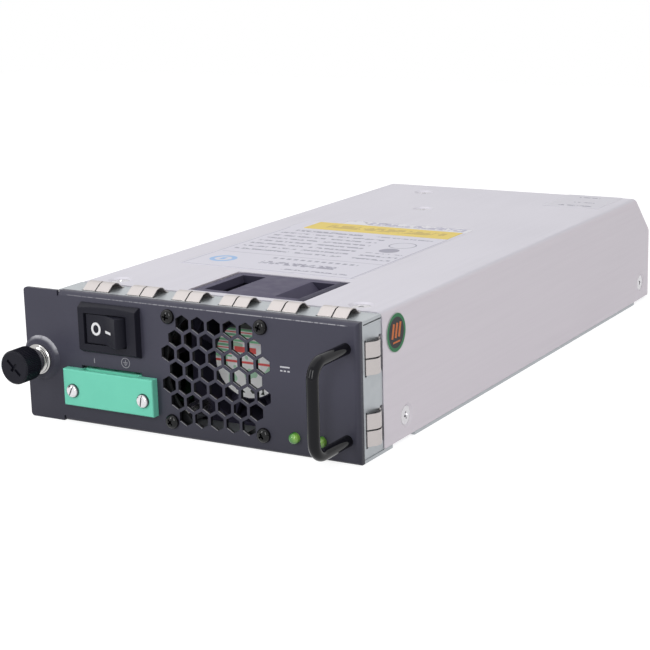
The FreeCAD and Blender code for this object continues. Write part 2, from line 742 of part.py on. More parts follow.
def switch_body():
    shell = block(span(SWITCH_X, SWITCH_BODY[0]), (0, SWITCH_DEPTH), span(SWITCH_Z, SWITCH_BODY[1]))
    slot = block(span(SWITCH_X, ROCKER_SLOT[0]), (-BEZEL_RIM - 1, ROCKER_SLOT_FLOOR),
                 span(SWITCH_Z, ROCKER_SLOT[1]))
    bearing = span(SWITCH_Z, ROCKER_HEIGHT + 2 * TRUNNION_LENGTH + 4 * CLEAR)
    pivots = rod_z(TRUNNION_RADIUS + RUNNING_GAP, SWITCH_X, 0, bearing)
    return joined([switch_bezel(), shell]).cut([slot, pivots])


def rocker_outline():
    angle = math.radians(ROCKER_TIP_ANGLE)
    tip_x, tip_y = ROCKER_TIP * math.cos(angle), -ROCKER_TIP * math.sin(angle)
    foot_x = math.sqrt(ROCKER_TIP ** 2 - ROCKER_FLOOR ** 2)
    left_tip, right_tip = Vector(-tip_x, tip_y, 0), Vector(tip_x, tip_y, 0)
    left_foot, right_foot = Vector(-foot_x, ROCKER_FLOOR, 0), Vector(foot_x, ROCKER_FLOOR, 0)
    valley = Vector(0, tip_y + tip_x * math.tan(math.radians(ROCKER_THROW)), 0)
    edges = [Part.LineSegment(left_tip, valley), Part.LineSegment(valley, right_tip),
             Part.Arc(right_tip, Vector(ROCKER_TIP, 0, 0), right_foot),
             Part.LineSegment(right_foot, left_foot),
             Part.Arc(left_foot, Vector(-ROCKER_TIP, 0, 0), left_tip)]
    return Part.Wire([e.toShape() for e in edges])


def switch_rocker():
    rocker = Part.Face(rocker_outline()).extrude(Vector(0, 0, ROCKER_HEIGHT))
    rocker.translate(Vector(0, 0, -ROCKER_HEIGHT / 2))
    trunnions = rod_z(TRUNNION_RADIUS, 0, 0, span(0, ROCKER_HEIGHT + 2 * TRUNNION_LENGTH))
    rocker = joined([rocker, trunnions])
    rocker.rotate(Vector(0, 0, 0), UP, -ROCKER_THROW)
    rocker.translate(Vector(SWITCH_X, 0, SWITCH_Z))
    return rocker


def switch_terminals():
    thick, long, wide = BLADE_TERMINAL
    y = (SWITCH_DEPTH, SWITCH_DEPTH + long)
    return [block(span(x, thick), y, span(SWITCH_Z, wide)) for x in span(SWITCH_X, BLADE_TERMINAL_STEP)]


# Terminal plug, its screws, and the header it plugs into

def terminal_plug():
    plate = block(span(PLUG_X, PLUG_WIDTH), (-PLUG_PROUD, 0), PLUG_Z)
    plate = rounded(plate, PLUG_ROUND, {"y": -PLUG_PROUD})
    body = block(span(PLUG_X, PLUG_BODY_WIDTH), (0, PLUG_BODY_REAR), PLUG_BODY_Z)
    scoop = block(span(PLUG_X, SCOOP_WIDTH), SCOOP_Y, (PLUG_Z[1] - SCOOP_DEPTH, PLUG_Z[1] + 1))
    well_z = (PLUG_Z[1] - WELL_DEPTH, PLUG_Z[1] + 1)
    wells = [peg_z(WELL_RADIUS, x, WELL_Y, well_z) for x in terminal_places()]
    screws = [peg_y(THREAD_RADIUS + RUNNING_GAP, x, z, (-5, 1)) for x, z in plug_screw_places()]
    return joined([plate, body]).cut([scoop] + wells + screws)


def plug_screws():
    screw = pan_screw(PLUG_SCREW_HEAD, THREAD_RADIUS, PLUG_PROUD + PLUG_SCREW_TIP)
    return [standing_in(screw, Vector(x, -PLUG_PROUD, z), FORWARD) for x, z in plug_screw_places()]


def terminal_header():
    housing = block(span(PLUG_X, PLUG_BODY_WIDTH), (PLUG_BODY_REAR, HEADER_REAR), (BOARD_TOP, PLUG_BODY_Z[1]))
    wide, long, deep = HEADER_WINDOW
    y, z = span(HEADER_WINDOW_Y, long), (PLUG_Z[1] - deep, PLUG_Z[1] + 1)
    windows = [block(span(x, wide), y, z) for x in terminal_places()]
    return housing.cut(windows)


def header_pins():
    z = (BOARD_BASE - PIN_LENGTH, BOARD_TOP)
    return [block(span(x, PIN_SIZE), span(PIN_Y, PIN_SIZE), z) for x in terminal_places()]


# Indicators on their small board

def indicator(x):
    profile = [(LED_RADIUS * math.sin(a), LED_SHOULDER - LED_RADIUS * math.cos(a)) for a in LED_DOME]
    return stacked_peg(profile + [(LED_RADIUS, LED_SHOULDER), (LED_RADIUS, LED_REAR)], x, LED_Z, LED_SIDES)


def indicator_board():
    x = (LED_PLACES[0] - LED_BOARD_EDGE, LED_PLACES[1] + LED_BOARD_EDGE)
    return block(x, (LED_REAR, LED_REAR + LED_BOARD), (2 * SHEET, LED_Z + LED_BOARD_EDGE))


# Captive thumbscrew

def thumb_ferrule():
    bore = SHANK_RADIUS + FERRULE_FIT
    profile = [(bore, PANEL_SHEET), (FERRULE_SPIGOT, PANEL_SHEET), (FERRULE_SPIGOT, -BOSS_RISE)]
    seat = -BOSS_RISE
    for radius, front in (FERRULE_FLANGE, FERRULE_COLLAR, FERRULE_NECK, (FERRULE_BODY, FERRULE_FRONT)):
        profile += [(radius, seat), (radius, front)]
        seat = front - FERRULE_CHAMFER
    return turned(profile + [(bore, FERRULE_FRONT)], THUMB_X, THUMB_Z)


def thumb_knob():
    socket = SHANK_RADIUS + CLOSE
    socket_floor = KNOB_FLOOR - KNOB_SOCKET
    profile = [(0, KNOB_FRONT), (KNOB_RADIUS - KNOB_EDGE, KNOB_FRONT), (KNOB_RADIUS, KNOB_FRONT + KNOB_EDGE),
               (KNOB_RADIUS, KNOB_REAR), (KNOB_BORE, KNOB_REAR), (KNOB_BORE, KNOB_FLOOR),
               (socket, KNOB_FLOOR), (socket, socket_floor), (0, socket_floor)]
    long, wide, deep = KNOB_CROSS
    cuts = []
    for width, height in ((long, wide), (wide, long)):
        arm = block(span(0, width), (KNOB_FRONT - 1, KNOB_FRONT + deep), span(0, height))
        arm.rotate(Vector(0, 0, 0), REARWARD, KNOB_CROSS_TURN)
        arm.translate(Vector(THUMB_X, 0, THUMB_Z))
        cuts.append(arm)
    return turned(profile, THUMB_X, THUMB_Z).cut(cuts)


def thumb_shank():
    front = KNOB_FLOOR - KNOB_SOCKET + CLOSE
    start, tip = THREAD_SPAN
    profile = [(0, front), (SHANK_RADIUS, front), (SHANK_RADIUS, start), (THREAD_RADIUS, start),
               (THREAD_RADIUS, tip - THREAD_CHAMFER), (THREAD_RADIUS - THREAD_CHAMFER, tip), (0, tip)]
    return revolved(profile, THUMB_X, THUMB_Z)


def thumb_spring():
    margin = SPRING_WIRE / 2 + 4 * CLOSE
    start = KNOB_FLOOR + margin
    room = FERRULE_FRONT - margin - start
    count = SPRING_TURNS * SPRING_STEPS
    points = []
    for k in range(count + 1):
        turn = 2 * math.pi * k / SPRING_STEPS
        x, z = THUMB_X + SPRING_MEAN * math.cos(turn), THUMB_Z + SPRING_MEAN * math.sin(turn)
        points.append(Vector(x, start + room * k / count, z))
    wire = standing_in(ring(SPRING_WIRE * math.sqrt(0.5), 0, 4), points[0], points[1] - points[0])
    return Part.makePolygon(points).makePipeShell([wire], True, True, MITRED)


# Axial fan: frame with struts and barrel, bladed rotor, and label on its hub

def fan_barrel(y):
    half_turn = math.pi / BARREL_SIDES
    barrel = peg(FAN_SIZE / 2 / math.cos(half_turn), y, BARREL_SIDES)
    barrel.rotate(Vector(0, 0, 0), UP, math.degrees(half_turn))
    return standing_in(barrel, Vector(FAN_X, 0, FAN_Z), REARWARD)


def fan_shell():
    x, z = span(FAN_X, FAN_SIZE), span(FAN_Z, FAN_SIZE)
    envelope = block(x, (FAN_FRONT, FAN_REAR), z)
    envelope = rounded(envelope, FAN_CORNER, *[{"x": i, "z": k} for i in x for k in z])
    waist = (FAN_FRONT + FAN_FLANGE, FAN_REAR - FAN_FLANGE)
    rails = [block(span(i, 2 * FAN_RAIL), waist, span(k, 2 * FAN_RAIL)) for i in x for k in z]
    around = block(span(FAN_X, FAN_SIZE + 2), waist, span(FAN_Z, FAN_SIZE + 2))
    around = around.cut([fan_barrel(waist)] + rails)
    through = (FAN_FRONT - 1, FAN_REAR + 1)
    holes = [peg_y(THREAD_RADIUS + RUNNING_GAP, i, k, through) for i, k in fan_corners()]
    return envelope.cut([around, peg_y(FAN_BORE, FAN_X, FAN_Z, through, BORE_SIDES)] + holes)


def fan_strut(angle):
    strut = block((HUB_RADIUS - STRUT_LAP, FAN_BORE + STRUT_LAP), STRUT_SPAN, span(0, STRUT_WIDTH))
    strut.rotate(Vector(0, 0, 0), REARWARD, angle)
    strut.translate(Vector(FAN_X, 0, FAN_Z))
    return strut


def fan_frame():
    hub = peg_y(HUB_RADIUS, FAN_X, FAN_Z, HUB_SPAN, LABEL_SIDES)
    struts = [fan_strut(angle) for angle in STRUT_ANGLES]
    bearing = rod_y(SHAFT_RADIUS + RUNNING_GAP, FAN_X, FAN_Z, (BEARING_FRONT, FAN_REAR))
    return joined([fan_shell(), hub] + struts).cut(bearing)


def fan_blade(angle):
    half_sweep = BLADE_SWEEP / 2
    half_sheet = BLADE_SHEET / 2
    corners = [(-half_sweep - half_sheet, BLADE_SPAN[0]), (half_sweep - half_sheet, BLADE_SPAN[1]),
               (half_sweep + half_sheet, BLADE_SPAN[1]), (-half_sweep + half_sheet, BLADE_SPAN[0])]
    points = [Vector(0, y, z) for z, y in corners]
    blade = prism(points, Vector(BLADE_TIP + 2, 0, 0))
    blade.rotate(Vector(0, 0, 0), REARWARD, angle)
    blade.translate(Vector(FAN_X, 0, FAN_Z))
    return blade


def fan_rotor():
    radius = HUB_RADIUS - 3 * CLEAR
    front, rear = ROTOR_SPAN
    profile = [(radius, front), (radius, rear - ROTOR_CHAMFER), (radius - ROTOR_CHAMFER, rear)]
    hub = stacked_peg(profile, FAN_X, FAN_Z, ROTOR_SIDES)
    blades = [fan_blade(360 * k / BLADE_COUNT) for k in range(BLADE_COUNT)]
    tips = peg_y(BLADE_TIP, FAN_X, FAN_Z, ROTOR_SPAN, ROTOR_SIDES)
    shaft = rod_y(SHAFT_RADIUS, FAN_X, FAN_Z, (BEARING_FRONT + RUNNING_GAP, front + ROTOR_CHAMFER))
    return joined([hub] + [blade.common(tips) for blade in blades] + [shaft])


def fan_label():
    y = (HUB_SPAN[0] - LABEL_SHEET, HUB_SPAN[0])
    return peg_y(HUB_RADIUS - LABEL_MARGIN, FAN_X, FAN_Z, y, LABEL_SIDES)


def fan_screws():
    screw = pan_screw(FAN_SCREW_HEAD, THREAD_RADIUS, FAN_SCREW_TIP)
    return [standing_in(screw, Vector(x, 0, z), FORWARD) for x, z in fan_corners()]


def fan_spacers():
    y = (FRAME_FRONT + SHEET, FAN_FRONT)
    return [peg_y(FAN_SPACER, x, z, y).cut(peg_y(THREAD_RADIUS + CLEAR, x, z, y)) for x, z in fan_corners()]


# Circuit board, its fastening and the parts that stand on it

def main_board():
    z = (BOARD_BASE, BOARD_TOP)
    tongue = block(span(BODY_MID, EDGE_WIDTH), (BOARD_Y[1], EDGE_REAR), z)
    tongue = rounded(tongue, EDGE_ROUND, {"y": EDGE_REAR, "z": z[0]}, {"y": EDGE_REAR, "z": z[1]})
    board = joined([block(BOARD_X, BOARD_Y, z), block(BOARD_ARM_X, BOARD_ARM_Y, z), tongue])
    holes = [peg_z(BOARD_SCREW + CLEAR, x, y, (0, HEIGHT)) for x, y in BOARD_PLACES]
    size = PIN_SIZE + CLEAR
    holes += [block(span(x, size), span(PIN_Y, size), (0, HEIGHT)) for x in terminal_places()]
    return board.cut(holes)


def board_standoffs():
    posts = [peg_z(STANDOFF_RADIUS, x, y, (SHEET, BOARD_BASE), STANDOFF_SIDES) for x, y in BOARD_PLACES]
    bores = [peg_z(BOARD_SCREW + CLOSE, x, y, (2 * SHEET, BOARD_BASE)) for x, y in BOARD_PLACES]
    return [post.cut(bore) for post, bore in zip(posts, bores)]


def board_screws():
    screw = pan_screw(BOARD_SCREW_HEAD, BOARD_SCREW, BOARD_TOP - BOARD_SCREW_TIP)
    return [standing_in(screw, Vector(x, y, BOARD_TOP), UP) for x, y in BOARD_PLACES]


def insulating_sheet():
    return block(FILM_X, BOARD_Y, (SHEET, SHEET + FILM_SHEET)).cut(rear_foot_room())


def rear_foot_room():
    return block((BODY_LEFT, BODY_RIGHT), (REAR_WALL[0] - REAR_FOOT - 1, BODY_DEPTH), (0, HEIGHT))


def cans(size, places):
    radius, height = size
    return [peg_z(radius, x, y, (BOARD_TOP, BOARD_TOP + height), CAN_SIDES) for x, y in places]


def transformer_core():
    x, y = CORE_PLACE
    wide, deep, high = CORE_SIZE
    core = block(span(x, wide), span(y, deep), (BOARD_TOP, BOARD_TOP + high))
    window_z = (BOARD_TOP + CORE_YOKE, BOARD_TOP + high - CORE_YOKE)
    windows = [block(span(i, CORE_WINDOW), span(y, 2 * deep), window_z) for i in span(x, CORE_WINDOW_STEP)]
    return core.cut(windows)


def transformer_winding():
    x, y = CORE_PLACE
    sides, ends = span(x, COIL_SIZE[0]), span(y, COIL_SIZE[1])
    z = (BOARD_TOP + CORE_YOKE, BOARD_TOP + CORE_SIZE[2] - CORE_YOKE - 2 * CLEAR)
    coil = rounded(block(sides, ends, z), COIL_ROUND, *[{"x": i, "y": k} for i in sides for k in ends])
    return coil.cut(block(span(x, COIL_LEG[0]), span(y, COIL_LEG[1]), (0, HEIGHT)))


def storage_choke():
    wide, deep, high = CHOKE_SIZE
    sides, ends = span(CHOKE_PLACE[0], wide), span(CHOKE_PLACE[1], deep)
    can = block(sides, ends, (BOARD_TOP, BOARD_TOP + high))
    return rounded(can, CHOKE_ROUND, *[{"x": i, "y": k} for i in sides for k in ends])


def heatsink(y):
    bar = block(SINK_X, y, (BOARD_TOP, BOARD_TOP + SINK_HEIGHT))
    fin_x = (SINK_X[0] + SINK_BACK, SINK_X[1])
    fin_z = (BOARD_TOP + SINK_FOOT, BOARD_TOP + SINK_HEIGHT + 1)
    starts = [y[0] + SINK_FOOT + k * FIN_STEP for k in range(int((y[1] - y[0]) // FIN_STEP))]
    return bar.cut([block(fin_x, span(start, FIN_GAP), fin_z) for start in starts])


def power_transistors():
    thick, wide, high = TRANSISTOR_SIZE
    z = (BOARD_TOP + TRANSISTOR_LIFT, BOARD_TOP + TRANSISTOR_LIFT + high)
    return [block((SINK_X[0] - thick, SINK_X[0]), span(y, wide), z) for y in TRANSISTOR_Y]


def edge_contacts():
    width, length, thick = EDGE_PAD
    step = EDGE_WIDTH / EDGE_PADS
    y = (EDGE_REAR - EDGE_MARGIN - length, EDGE_REAR - EDGE_MARGIN)
    pads = []
    for k in range(EDGE_PADS):
        x = span(BODY_MID + (k - (EDGE_PADS - 1) / 2) * step, width)
        pads += [block(x, y, (BOARD_TOP, BOARD_TOP + thick)), block(x, y, (BOARD_BASE - thick, BOARD_BASE))]
    return pads


def heat_spreader():
    plate = block(SPREADER_X, SPREADER_Y, (HEIGHT - SHEET - SPREADER_SHEET, HEIGHT - SHEET))
    return plate.cut([screw_shank_hole(x, y) for x, y in TOP_SCREWS])


# Assembly

def housing_parts():
    return {
        "front_panel": front_panel(), "front_frame": front_frame(), "top_cover": top_cover(),
        "cover_top_screws": cover_top_screws(), "cover_side_screws": cover_side_screws(),
        "bottom_tray": bottom_tray(), "rear_panel": rear_panel(), "rear_screws": rear_screws(),
    }


def front_parts():
    parts = {
        "pull_handle": pull_handle(), "handle_screws": handle_screws(), "switch_body": switch_body(),
        "switch_rocker": switch_rocker(), "switch_terminals": switch_terminals(),
        "terminal_plug": terminal_plug(), "plug_screws": plug_screws(), "terminal_header": terminal_header(),
        "header_pins": header_pins(), "indicator_board": indicator_board(), "thumb_ferrule": thumb_ferrule(),
        "thumb_knob": thumb_knob(), "thumb_shank": thumb_shank(), "thumb_spring": thumb_spring(),
    }
    for name, x in zip(("input_indicator", "output_indicator"), LED_PLACES):
        parts[name] = indicator(x)
    return parts


def fan_parts():
    return {
        "fan_frame": fan_frame(), "fan_rotor": fan_rotor(), "fan_label": fan_label(),
        "fan_screws": fan_screws(), "fan_spacers": fan_spacers(),
    }


def board_parts():
    return {
        "main_board": main_board(), "board_standoffs": board_standoffs(), "board_screws": board_screws(),
        "insulating_sheet": insulating_sheet(), "input_capacitors": cans(INPUT_CAN, INPUT_CAN_PLACES),
        "output_capacitors": cans(OUTPUT_CAN, OUTPUT_CAN_PLACES), "transformer_core": transformer_core(),
        "transformer_winding": transformer_winding(), "storage_choke": storage_choke(),
        "primary_heatsink": heatsink(PRIMARY_SINK_Y), "secondary_heatsink": heatsink(SECONDARY_SINK_Y),
        "power_transistors": power_transistors(), "edge_contacts": edge_contacts(),
        "heat_spreader": heat_spreader(),
    }


def finger_parts():
    parts = {"top_finger_%d" % (k + 1): top_finger(x) for k, x in enumerate(top_finger_places())}
    for name, side in (("left", -1), ("right", 1)):
        for k, z in enumerate(SIDE_FINGER_Z):
            parts["%s_finger_%d" % (name, k + 1)] = side_finger(side, z)
    return parts


def bottom_centre(shapes):
    box = Part.makeCompound(shapes).optimalBoundingBox(False, False)
    return Vector((box.XMin + box.XMax) / 2, (box.YMin + box.YMax) / 2, 0)


def main():
    pieces = {**housing_parts(), **front_parts(), **fan_parts(), **board_parts(), **finger_parts()}
    parts = {n: Part.makeCompound(s) if isinstance(s, list) else s for n, s in pieces.items()}
    origin = bottom_centre(list(parts.values()))
    os.makedirs("parts", exist_ok=True)
    for name, shape in parts.items():
        shape.translate(-origin)
        shape.exportStep("parts/%s.step" % name)
        print(name, "valid" if shape.isValid() else "NOT VALID", len(shape.Solids), round(shape.Volume, 1))
    print("origin in the working frame", [round(v, 4) for v in origin])


main()
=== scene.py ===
# %% [markdown]
# A plug-in power supply for a network switch
#
# The object is a flat steel box that slides into a switch. Its dark front panel carries a rocker switch, a
# green terminal plug, a fan grille, two lamps, a pull handle and a sprung thumbscrew. The construction comes
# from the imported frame; this lesson adds the finishes and models what a plain solid can't show.

# %% Load the frame
import functools
import math

import bmesh
import bpy
from mathutils import Euler, Matrix, Vector


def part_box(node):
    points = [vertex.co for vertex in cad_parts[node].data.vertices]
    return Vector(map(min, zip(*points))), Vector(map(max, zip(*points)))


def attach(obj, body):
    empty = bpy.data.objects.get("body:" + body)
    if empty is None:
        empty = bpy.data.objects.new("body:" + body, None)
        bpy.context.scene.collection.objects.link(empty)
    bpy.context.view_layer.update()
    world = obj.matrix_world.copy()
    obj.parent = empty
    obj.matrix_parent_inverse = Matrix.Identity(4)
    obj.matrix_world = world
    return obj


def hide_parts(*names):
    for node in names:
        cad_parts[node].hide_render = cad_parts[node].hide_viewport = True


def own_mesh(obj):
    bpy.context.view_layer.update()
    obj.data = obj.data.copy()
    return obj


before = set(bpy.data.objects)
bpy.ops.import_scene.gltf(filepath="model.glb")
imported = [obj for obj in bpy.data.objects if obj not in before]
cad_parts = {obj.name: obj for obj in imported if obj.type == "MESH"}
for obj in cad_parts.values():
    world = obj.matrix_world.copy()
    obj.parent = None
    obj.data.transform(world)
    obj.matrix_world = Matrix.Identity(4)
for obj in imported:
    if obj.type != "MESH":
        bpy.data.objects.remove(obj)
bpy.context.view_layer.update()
MM = 0.001
BOSS_RISE = 1.2
fan_low, fan_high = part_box("fan_rotor")
FAN_X = (fan_low.x + fan_high.x) / 2
PANEL_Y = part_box("front_panel")[0].y + BOSS_RISE * MM
BASE_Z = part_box("bottom_tray")[0].z


def spot(x, y, z):
    """A place in metres, from millimetres right of the fan's axis, behind the panel and above the base."""
    return Vector((FAN_X + x * MM, PANEL_Y + y * MM, BASE_Z + z * MM))


# %% [markdown]
# The camera
#
# The photograph was taken from the right and a little above, with a long lens. The lens, the place and the
# small tilt were found by matching the corners of the body, so they are set as numbers and not by eye.

# %% Camera
CAMERA_PLACE = (270.856, -396.976, 152.167)
CAMERA_TURN, CAMERA_RISE, CAMERA_TILT = (math.radians(v) for v in (30.4713, 13.7114, -1.51196))
CAMERA_LENS, CAMERA_SENSOR = 94.866, 36
CAMERA_NEAR = 0.01

aim = Euler((math.pi / 2 - CAMERA_RISE, 0, CAMERA_TURN)).to_matrix() @ Matrix.Rotation(CAMERA_TILT, 3, "Z")
bpy.ops.object.camera_add(location=spot(*CAMERA_PLACE), rotation=aim.to_euler())
camera = bpy.context.object
camera.data.lens = CAMERA_LENS
camera.data.sensor_width = CAMERA_SENSOR
camera.data.clip_start = CAMERA_NEAR
bpy.context.scene.camera = camera
bpy.context.scene.view_settings.view_transform = "Standard"
print("camera at", [round(v, 4) for v in camera.location])

# %% [markdown]
# Floor, world and lamps
#
# A product photograph on white needs light from all round, so the world is a pale dome and three lamps shape
# the form: a wide one above, and a tall strip at the upper right and the upper left, which leave long glints
# on round edges. Rays that come straight from the camera, from metal or through glass see plain white, and
# the floor still takes a faint shadow.

# %% World
WHITE = (1, 1, 1, 1)
DOME_LIGHT = 0.42


def glow(tree, indirect, direct):
    """One strength for most rays, and one for those from the camera, a reflection or a clear material."""
    path = tree.nodes.new("ShaderNodeLightPath")
    total = path.outputs["Is Camera Ray"]
    for name in ("Is Glossy Ray", "Is Transmission Ray"):
        adder = tree.nodes.new("ShaderNodeMath")
        adder.use_clamp = True
        tree.links.new(total, adder.inputs[0])
        tree.links.new(path.outputs[name], adder.inputs[1])
        total = adder.outputs[0]
    span = tree.nodes.new("ShaderNodeMapRange")
    span.inputs["To Min"].default_value = indirect
    span.inputs["To Max"].default_value = direct
    tree.links.new(total, span.inputs["Value"])
    return span.outputs["Result"]


world = bpy.data.worlds.new("white studio")
bpy.context.scene.world = world
world.use_nodes = True
dome = world.node_tree.nodes["Background"]
dome.inputs["Color"].default_value = WHITE
world.node_tree.links.new(glow(world.node_tree, DOME_LIGHT, 1.0), dome.inputs["Strength"])
print("dome", DOME_LIGHT)

# %% Lamps
LAMP_TARGET = spot(-5, 90, 20)
LAMPS = {  # place in millimetres, width and height in metres, power in watts
    "lamp above": ((-250, 150, 1100), 1.5, 1.5, 4.5),
    "lamp upper right": ((380, -900, 480), 0.2, 0.7, 4.0),
    "lamp upper left": ((-500, -850, 480), 0.2, 0.7, 3.0),
}
for name, (place, wide, tall, power) in LAMPS.items():
    here = spot(*place)
    aim = (LAMP_TARGET - here).to_track_quat("-Z", "Y").to_euler()
    bpy.ops.object.light_add(type="AREA", location=here, rotation=aim)
    light = bpy.context.object
    light.name = name
    light.data.shape = "RECTANGLE"
    light.data.size, light.data.size_y = wide, tall
    light.data.energy = power
print("lamps", len(LAMPS))

# %% Floor
FLOOR_SIZE = 1.7
FLOOR_DROP = 0.02 * MM
FLOOR_TONE = (0.45, 0.45, 0.455, 1)
FLOOR_GLOW = 0.78

bpy.ops.object.select_all(action="DESELECT")
bpy.ops.mesh.primitive_plane_add(size=FLOOR_SIZE, location=(0, 0, BASE_Z - FLOOR_DROP))
floor = bpy.context.object
floor.name = "floor"
bpy.ops.object.transform_apply(location=True)
floor_white = bpy.data.materials.new("pale floor")
floor_white.use_nodes = True
shader = floor_white.node_tree.nodes["Principled BSDF"]
shader.inputs["Base Color"].default_value = FLOOR_TONE
shader.inputs["Roughness"].default_value = 0.9
shader.inputs["Specular IOR Level"].default_value = 0.0
shader.inputs["Emission Color"].default_value = WHITE
floor_white.node_tree.links.new(glow(floor_white.node_tree, 0.0, FLOOR_GLOW),
                                shader.inputs["Emission Strength"])
floor.data.materials.append(floor_white)
print("floor", FLOOR_SIZE, "m")

# %% [markdown]
# Finishes
#
# Each finish is a shader with its own detail: paint has a fine grain, zinc its spangle, satin steel its
# streaks. The small helpers below add one layer at a time, so that a finish reads as a recipe. All patterns
# follow the object's own coordinates, in metres, so a scale of 1000 is a pattern of about a millimetre.

# %% Materials and nodes


def finish(name, colour, roughness, metallic=0.0, gloss=0.5, coat=0.0):
    """A new material whose plain values sit on the shader's own sockets."""
    material = bpy.data.materials.new(name)
    material.use_nodes = True
    inputs = material.node_tree.nodes["Principled BSDF"].inputs
    inputs["Base Color"].default_value = (*colour, 1)
    inputs["Roughness"].default_value = roughness
    inputs["Metallic"].default_value = metallic
    inputs["Specular IOR Level"].default_value = gloss
    inputs["Coat Weight"].default_value = coat
    return material


def feed(material, socket, value):
    """Links an output to a socket, or sets a plain value on it."""
    if isinstance(value, bpy.types.NodeSocket):
        material.node_tree.links.new(value, socket)
    else:
        socket.default_value = value


def add_node(material, kind, **inputs):
    """A node with its values set, where an input given as a socket is linked."""
    made = material.node_tree.nodes.new("ShaderNode" + kind)
    for name, value in inputs.items():
        feed(material, made.inputs[name.replace("_", " ")], value)
    return made


def into_shader(material, output, socket):
    """Links an output to the shader."""
    material.node_tree.links.new(output, material.node_tree.nodes["Principled BSDF"].inputs[socket])


def drawn_from(material, socket):
    """The output that is linked to one of the shader's sockets."""
    return material.node_tree.nodes["Principled BSDF"].inputs[socket].links[0].from_socket


# %% Patterns and mixing


def place_of(material, stretch=(1, 1, 1), centre=(0, 0, 0)):
    """The object's coordinates, moved to a centre and stretched."""
    coordinates = add_node(material, "TexCoord")
    moved = [-c * s for c, s in zip(centre, stretch)]
    mapping = add_node(material, "Mapping", Vector=coordinates.outputs["Object"], Location=moved,
                       Scale=stretch)
    return mapping.outputs["Vector"]


def cloud(material, scale, stretch=(1, 1, 1), detail=3.0):
    """Soft noise from 0 to 1."""
    place = place_of(material, stretch)
    return add_node(material, "TexNoise", Vector=place, Scale=scale, Detail=detail).outputs["Fac"]


def graded(material, value, low, high, to_low=0.0, to_high=1.0):
    """A value stretched from one span to another."""
    spans = {"From_Min": low, "From_Max": high, "To_Min": to_low, "To_Max": to_high}
    return add_node(material, "MapRange", Value=value, **spans).outputs["Result"]


def blend(material, share, first, second):
    """Two colours, or outputs, mixed by a share."""
    mix = add_node(material, "Mix")
    mix.data_type = "RGBA"
    material.node_tree.links.new(share, mix.inputs["Factor"])
    for socket, colour in zip((s for s in mix.inputs if s.type == "RGBA"), (first, second)):
        feed(material, socket, colour if isinstance(colour, bpy.types.NodeSocket) else (*colour, 1))
    return next(s for s in mix.outputs if s.type == "RGBA")


def tint(material, share, first, second):
    """Mixes two colours by a share into the shader's own colour."""
    into_shader(material, blend(material, share, first, second), "Base Color")


def roughened(material, noise, low, high):
    """Lets the shader's roughness wander between two values."""
    into_shader(material, graded(material, noise, 0.3, 0.7, low, high), "Roughness")


def raised(material, height, depth, strength):
    """Gives the shader a bump of a depth in millimetres."""
    bump = add_node(material, "Bump", Height=height, Strength=strength, Distance=depth * MM)
    into_shader(material, bump.outputs["Normal"], "Normal")


def reckon(material, operation, first, second):
    """One sum of two values, each a number or an output."""
    made = add_node(material, "Math")
    made.operation = operation
    for socket, value in zip(made.inputs, (first, second)):
        feed(material, socket, value)
    return made.outputs[0]


def times(material, *values):
    """Values multiplied, so that a share is left only where all of them have one."""
    return functools.reduce(lambda a, b: reckon(material, "MULTIPLY", a, b), values)


def most(material, *values):
    """The largest of several values."""
    return functools.reduce(lambda a, b: reckon(material, "MAXIMUM", a, b), values)


# %% Places and facings


def millimetres(material):
    """The place on the object as three values, from the same zero as spot()."""
    split = add_node(material, "SeparateXYZ", Vector=place_of(material, (1 / MM,) * 3, spot(0, 0, 0)))
    return split.outputs["X"], split.outputs["Y"], split.outputs["Z"]


def reach(material, centre, axes):
    """The distance from a place in millimetres, along the axes marked 1."""
    away = place_of(material, [a / MM for a in axes], spot(*centre))
    length = add_node(material, "VectorMath", Vector=away)
    length.operation = "LENGTH"
    return length.outputs["Value"]


def between(material, value, low, high, edge=0.08):
    """1 where a value lies between two limits, with a soft edge."""
    return times(material, graded(material, value, low - edge, low + edge),
                 graded(material, value, high + edge, high - edge))


def stripes(material, value, first, step, thick, edge=0.1):
    """Even stripes, the first of them at a value."""
    away = reckon(material, "PINGPONG", reckon(material, "SUBTRACT", value, first), step / 2)
    return graded(material, away, thick / 2 + edge, thick / 2 - edge)


def facing_share(material, direction, low, high, full=1.0):
    """A share for faces that look along a direction."""
    coordinates = add_node(material, "TexCoord")
    turn = add_node(material, "VectorMath", Vector=coordinates.outputs["Normal"])
    turn.operation = "DOT_PRODUCT"
    turn.inputs[1].default_value = direction
    return graded(material, turn.outputs["Value"], low, high, 0, full)


# %% [markdown]
# Panel paint
#
# The panel is folded steel in dark satin paint. Light and shade are painted into it: a highlight along the
# upper bend, where the paint is also worn; a highlight on the boss's shoulder; a bright edge on hole walls
# that look up to the right, partly bare cut edge; and shade on the other hole walls and towards the bottom.
# Such marks could be drawn in a picture; a mask in millimetres stays sharp and in place however near the
# camera comes.

# %% Panel paint
THUMB_X, THUMB_Z = -64.4, 19.2
BEND_LINE = {"across": (-53, 44), "up": (40.03, 40.2)}
BOSS_SHOULDER = (6.4, 8.6)
GRILLE = {"across": (-22, 22), "up": (1.5, 39.5)}
LEANING_WALL = (0.5, 0, 0.866)
FRONT, UP, RIGHT = (0, -1, 0), (0, 0, 1), (1, 0, 0)


def bend_highlight_and_wear(material):
    """A bright broken line along the upper bend, partly worn paint, partly a painted highlight stronger to
    the right.
    """
    across, _, up = millimetres(material)
    line = times(material, between(material, up, *BEND_LINE["up"]),
                 between(material, across, *BEND_LINE["across"], edge=0.5))
    breaks = graded(material, cloud(material, 1100, (1, 0.2, 0.2), 6), 0.38, 0.52, 0.25, 1)
    # The last factor makes the painted highlight stronger to the right, where the light falls.
    return times(material, line, breaks, graded(material, across, -60, 30, 0.25, 0.9))


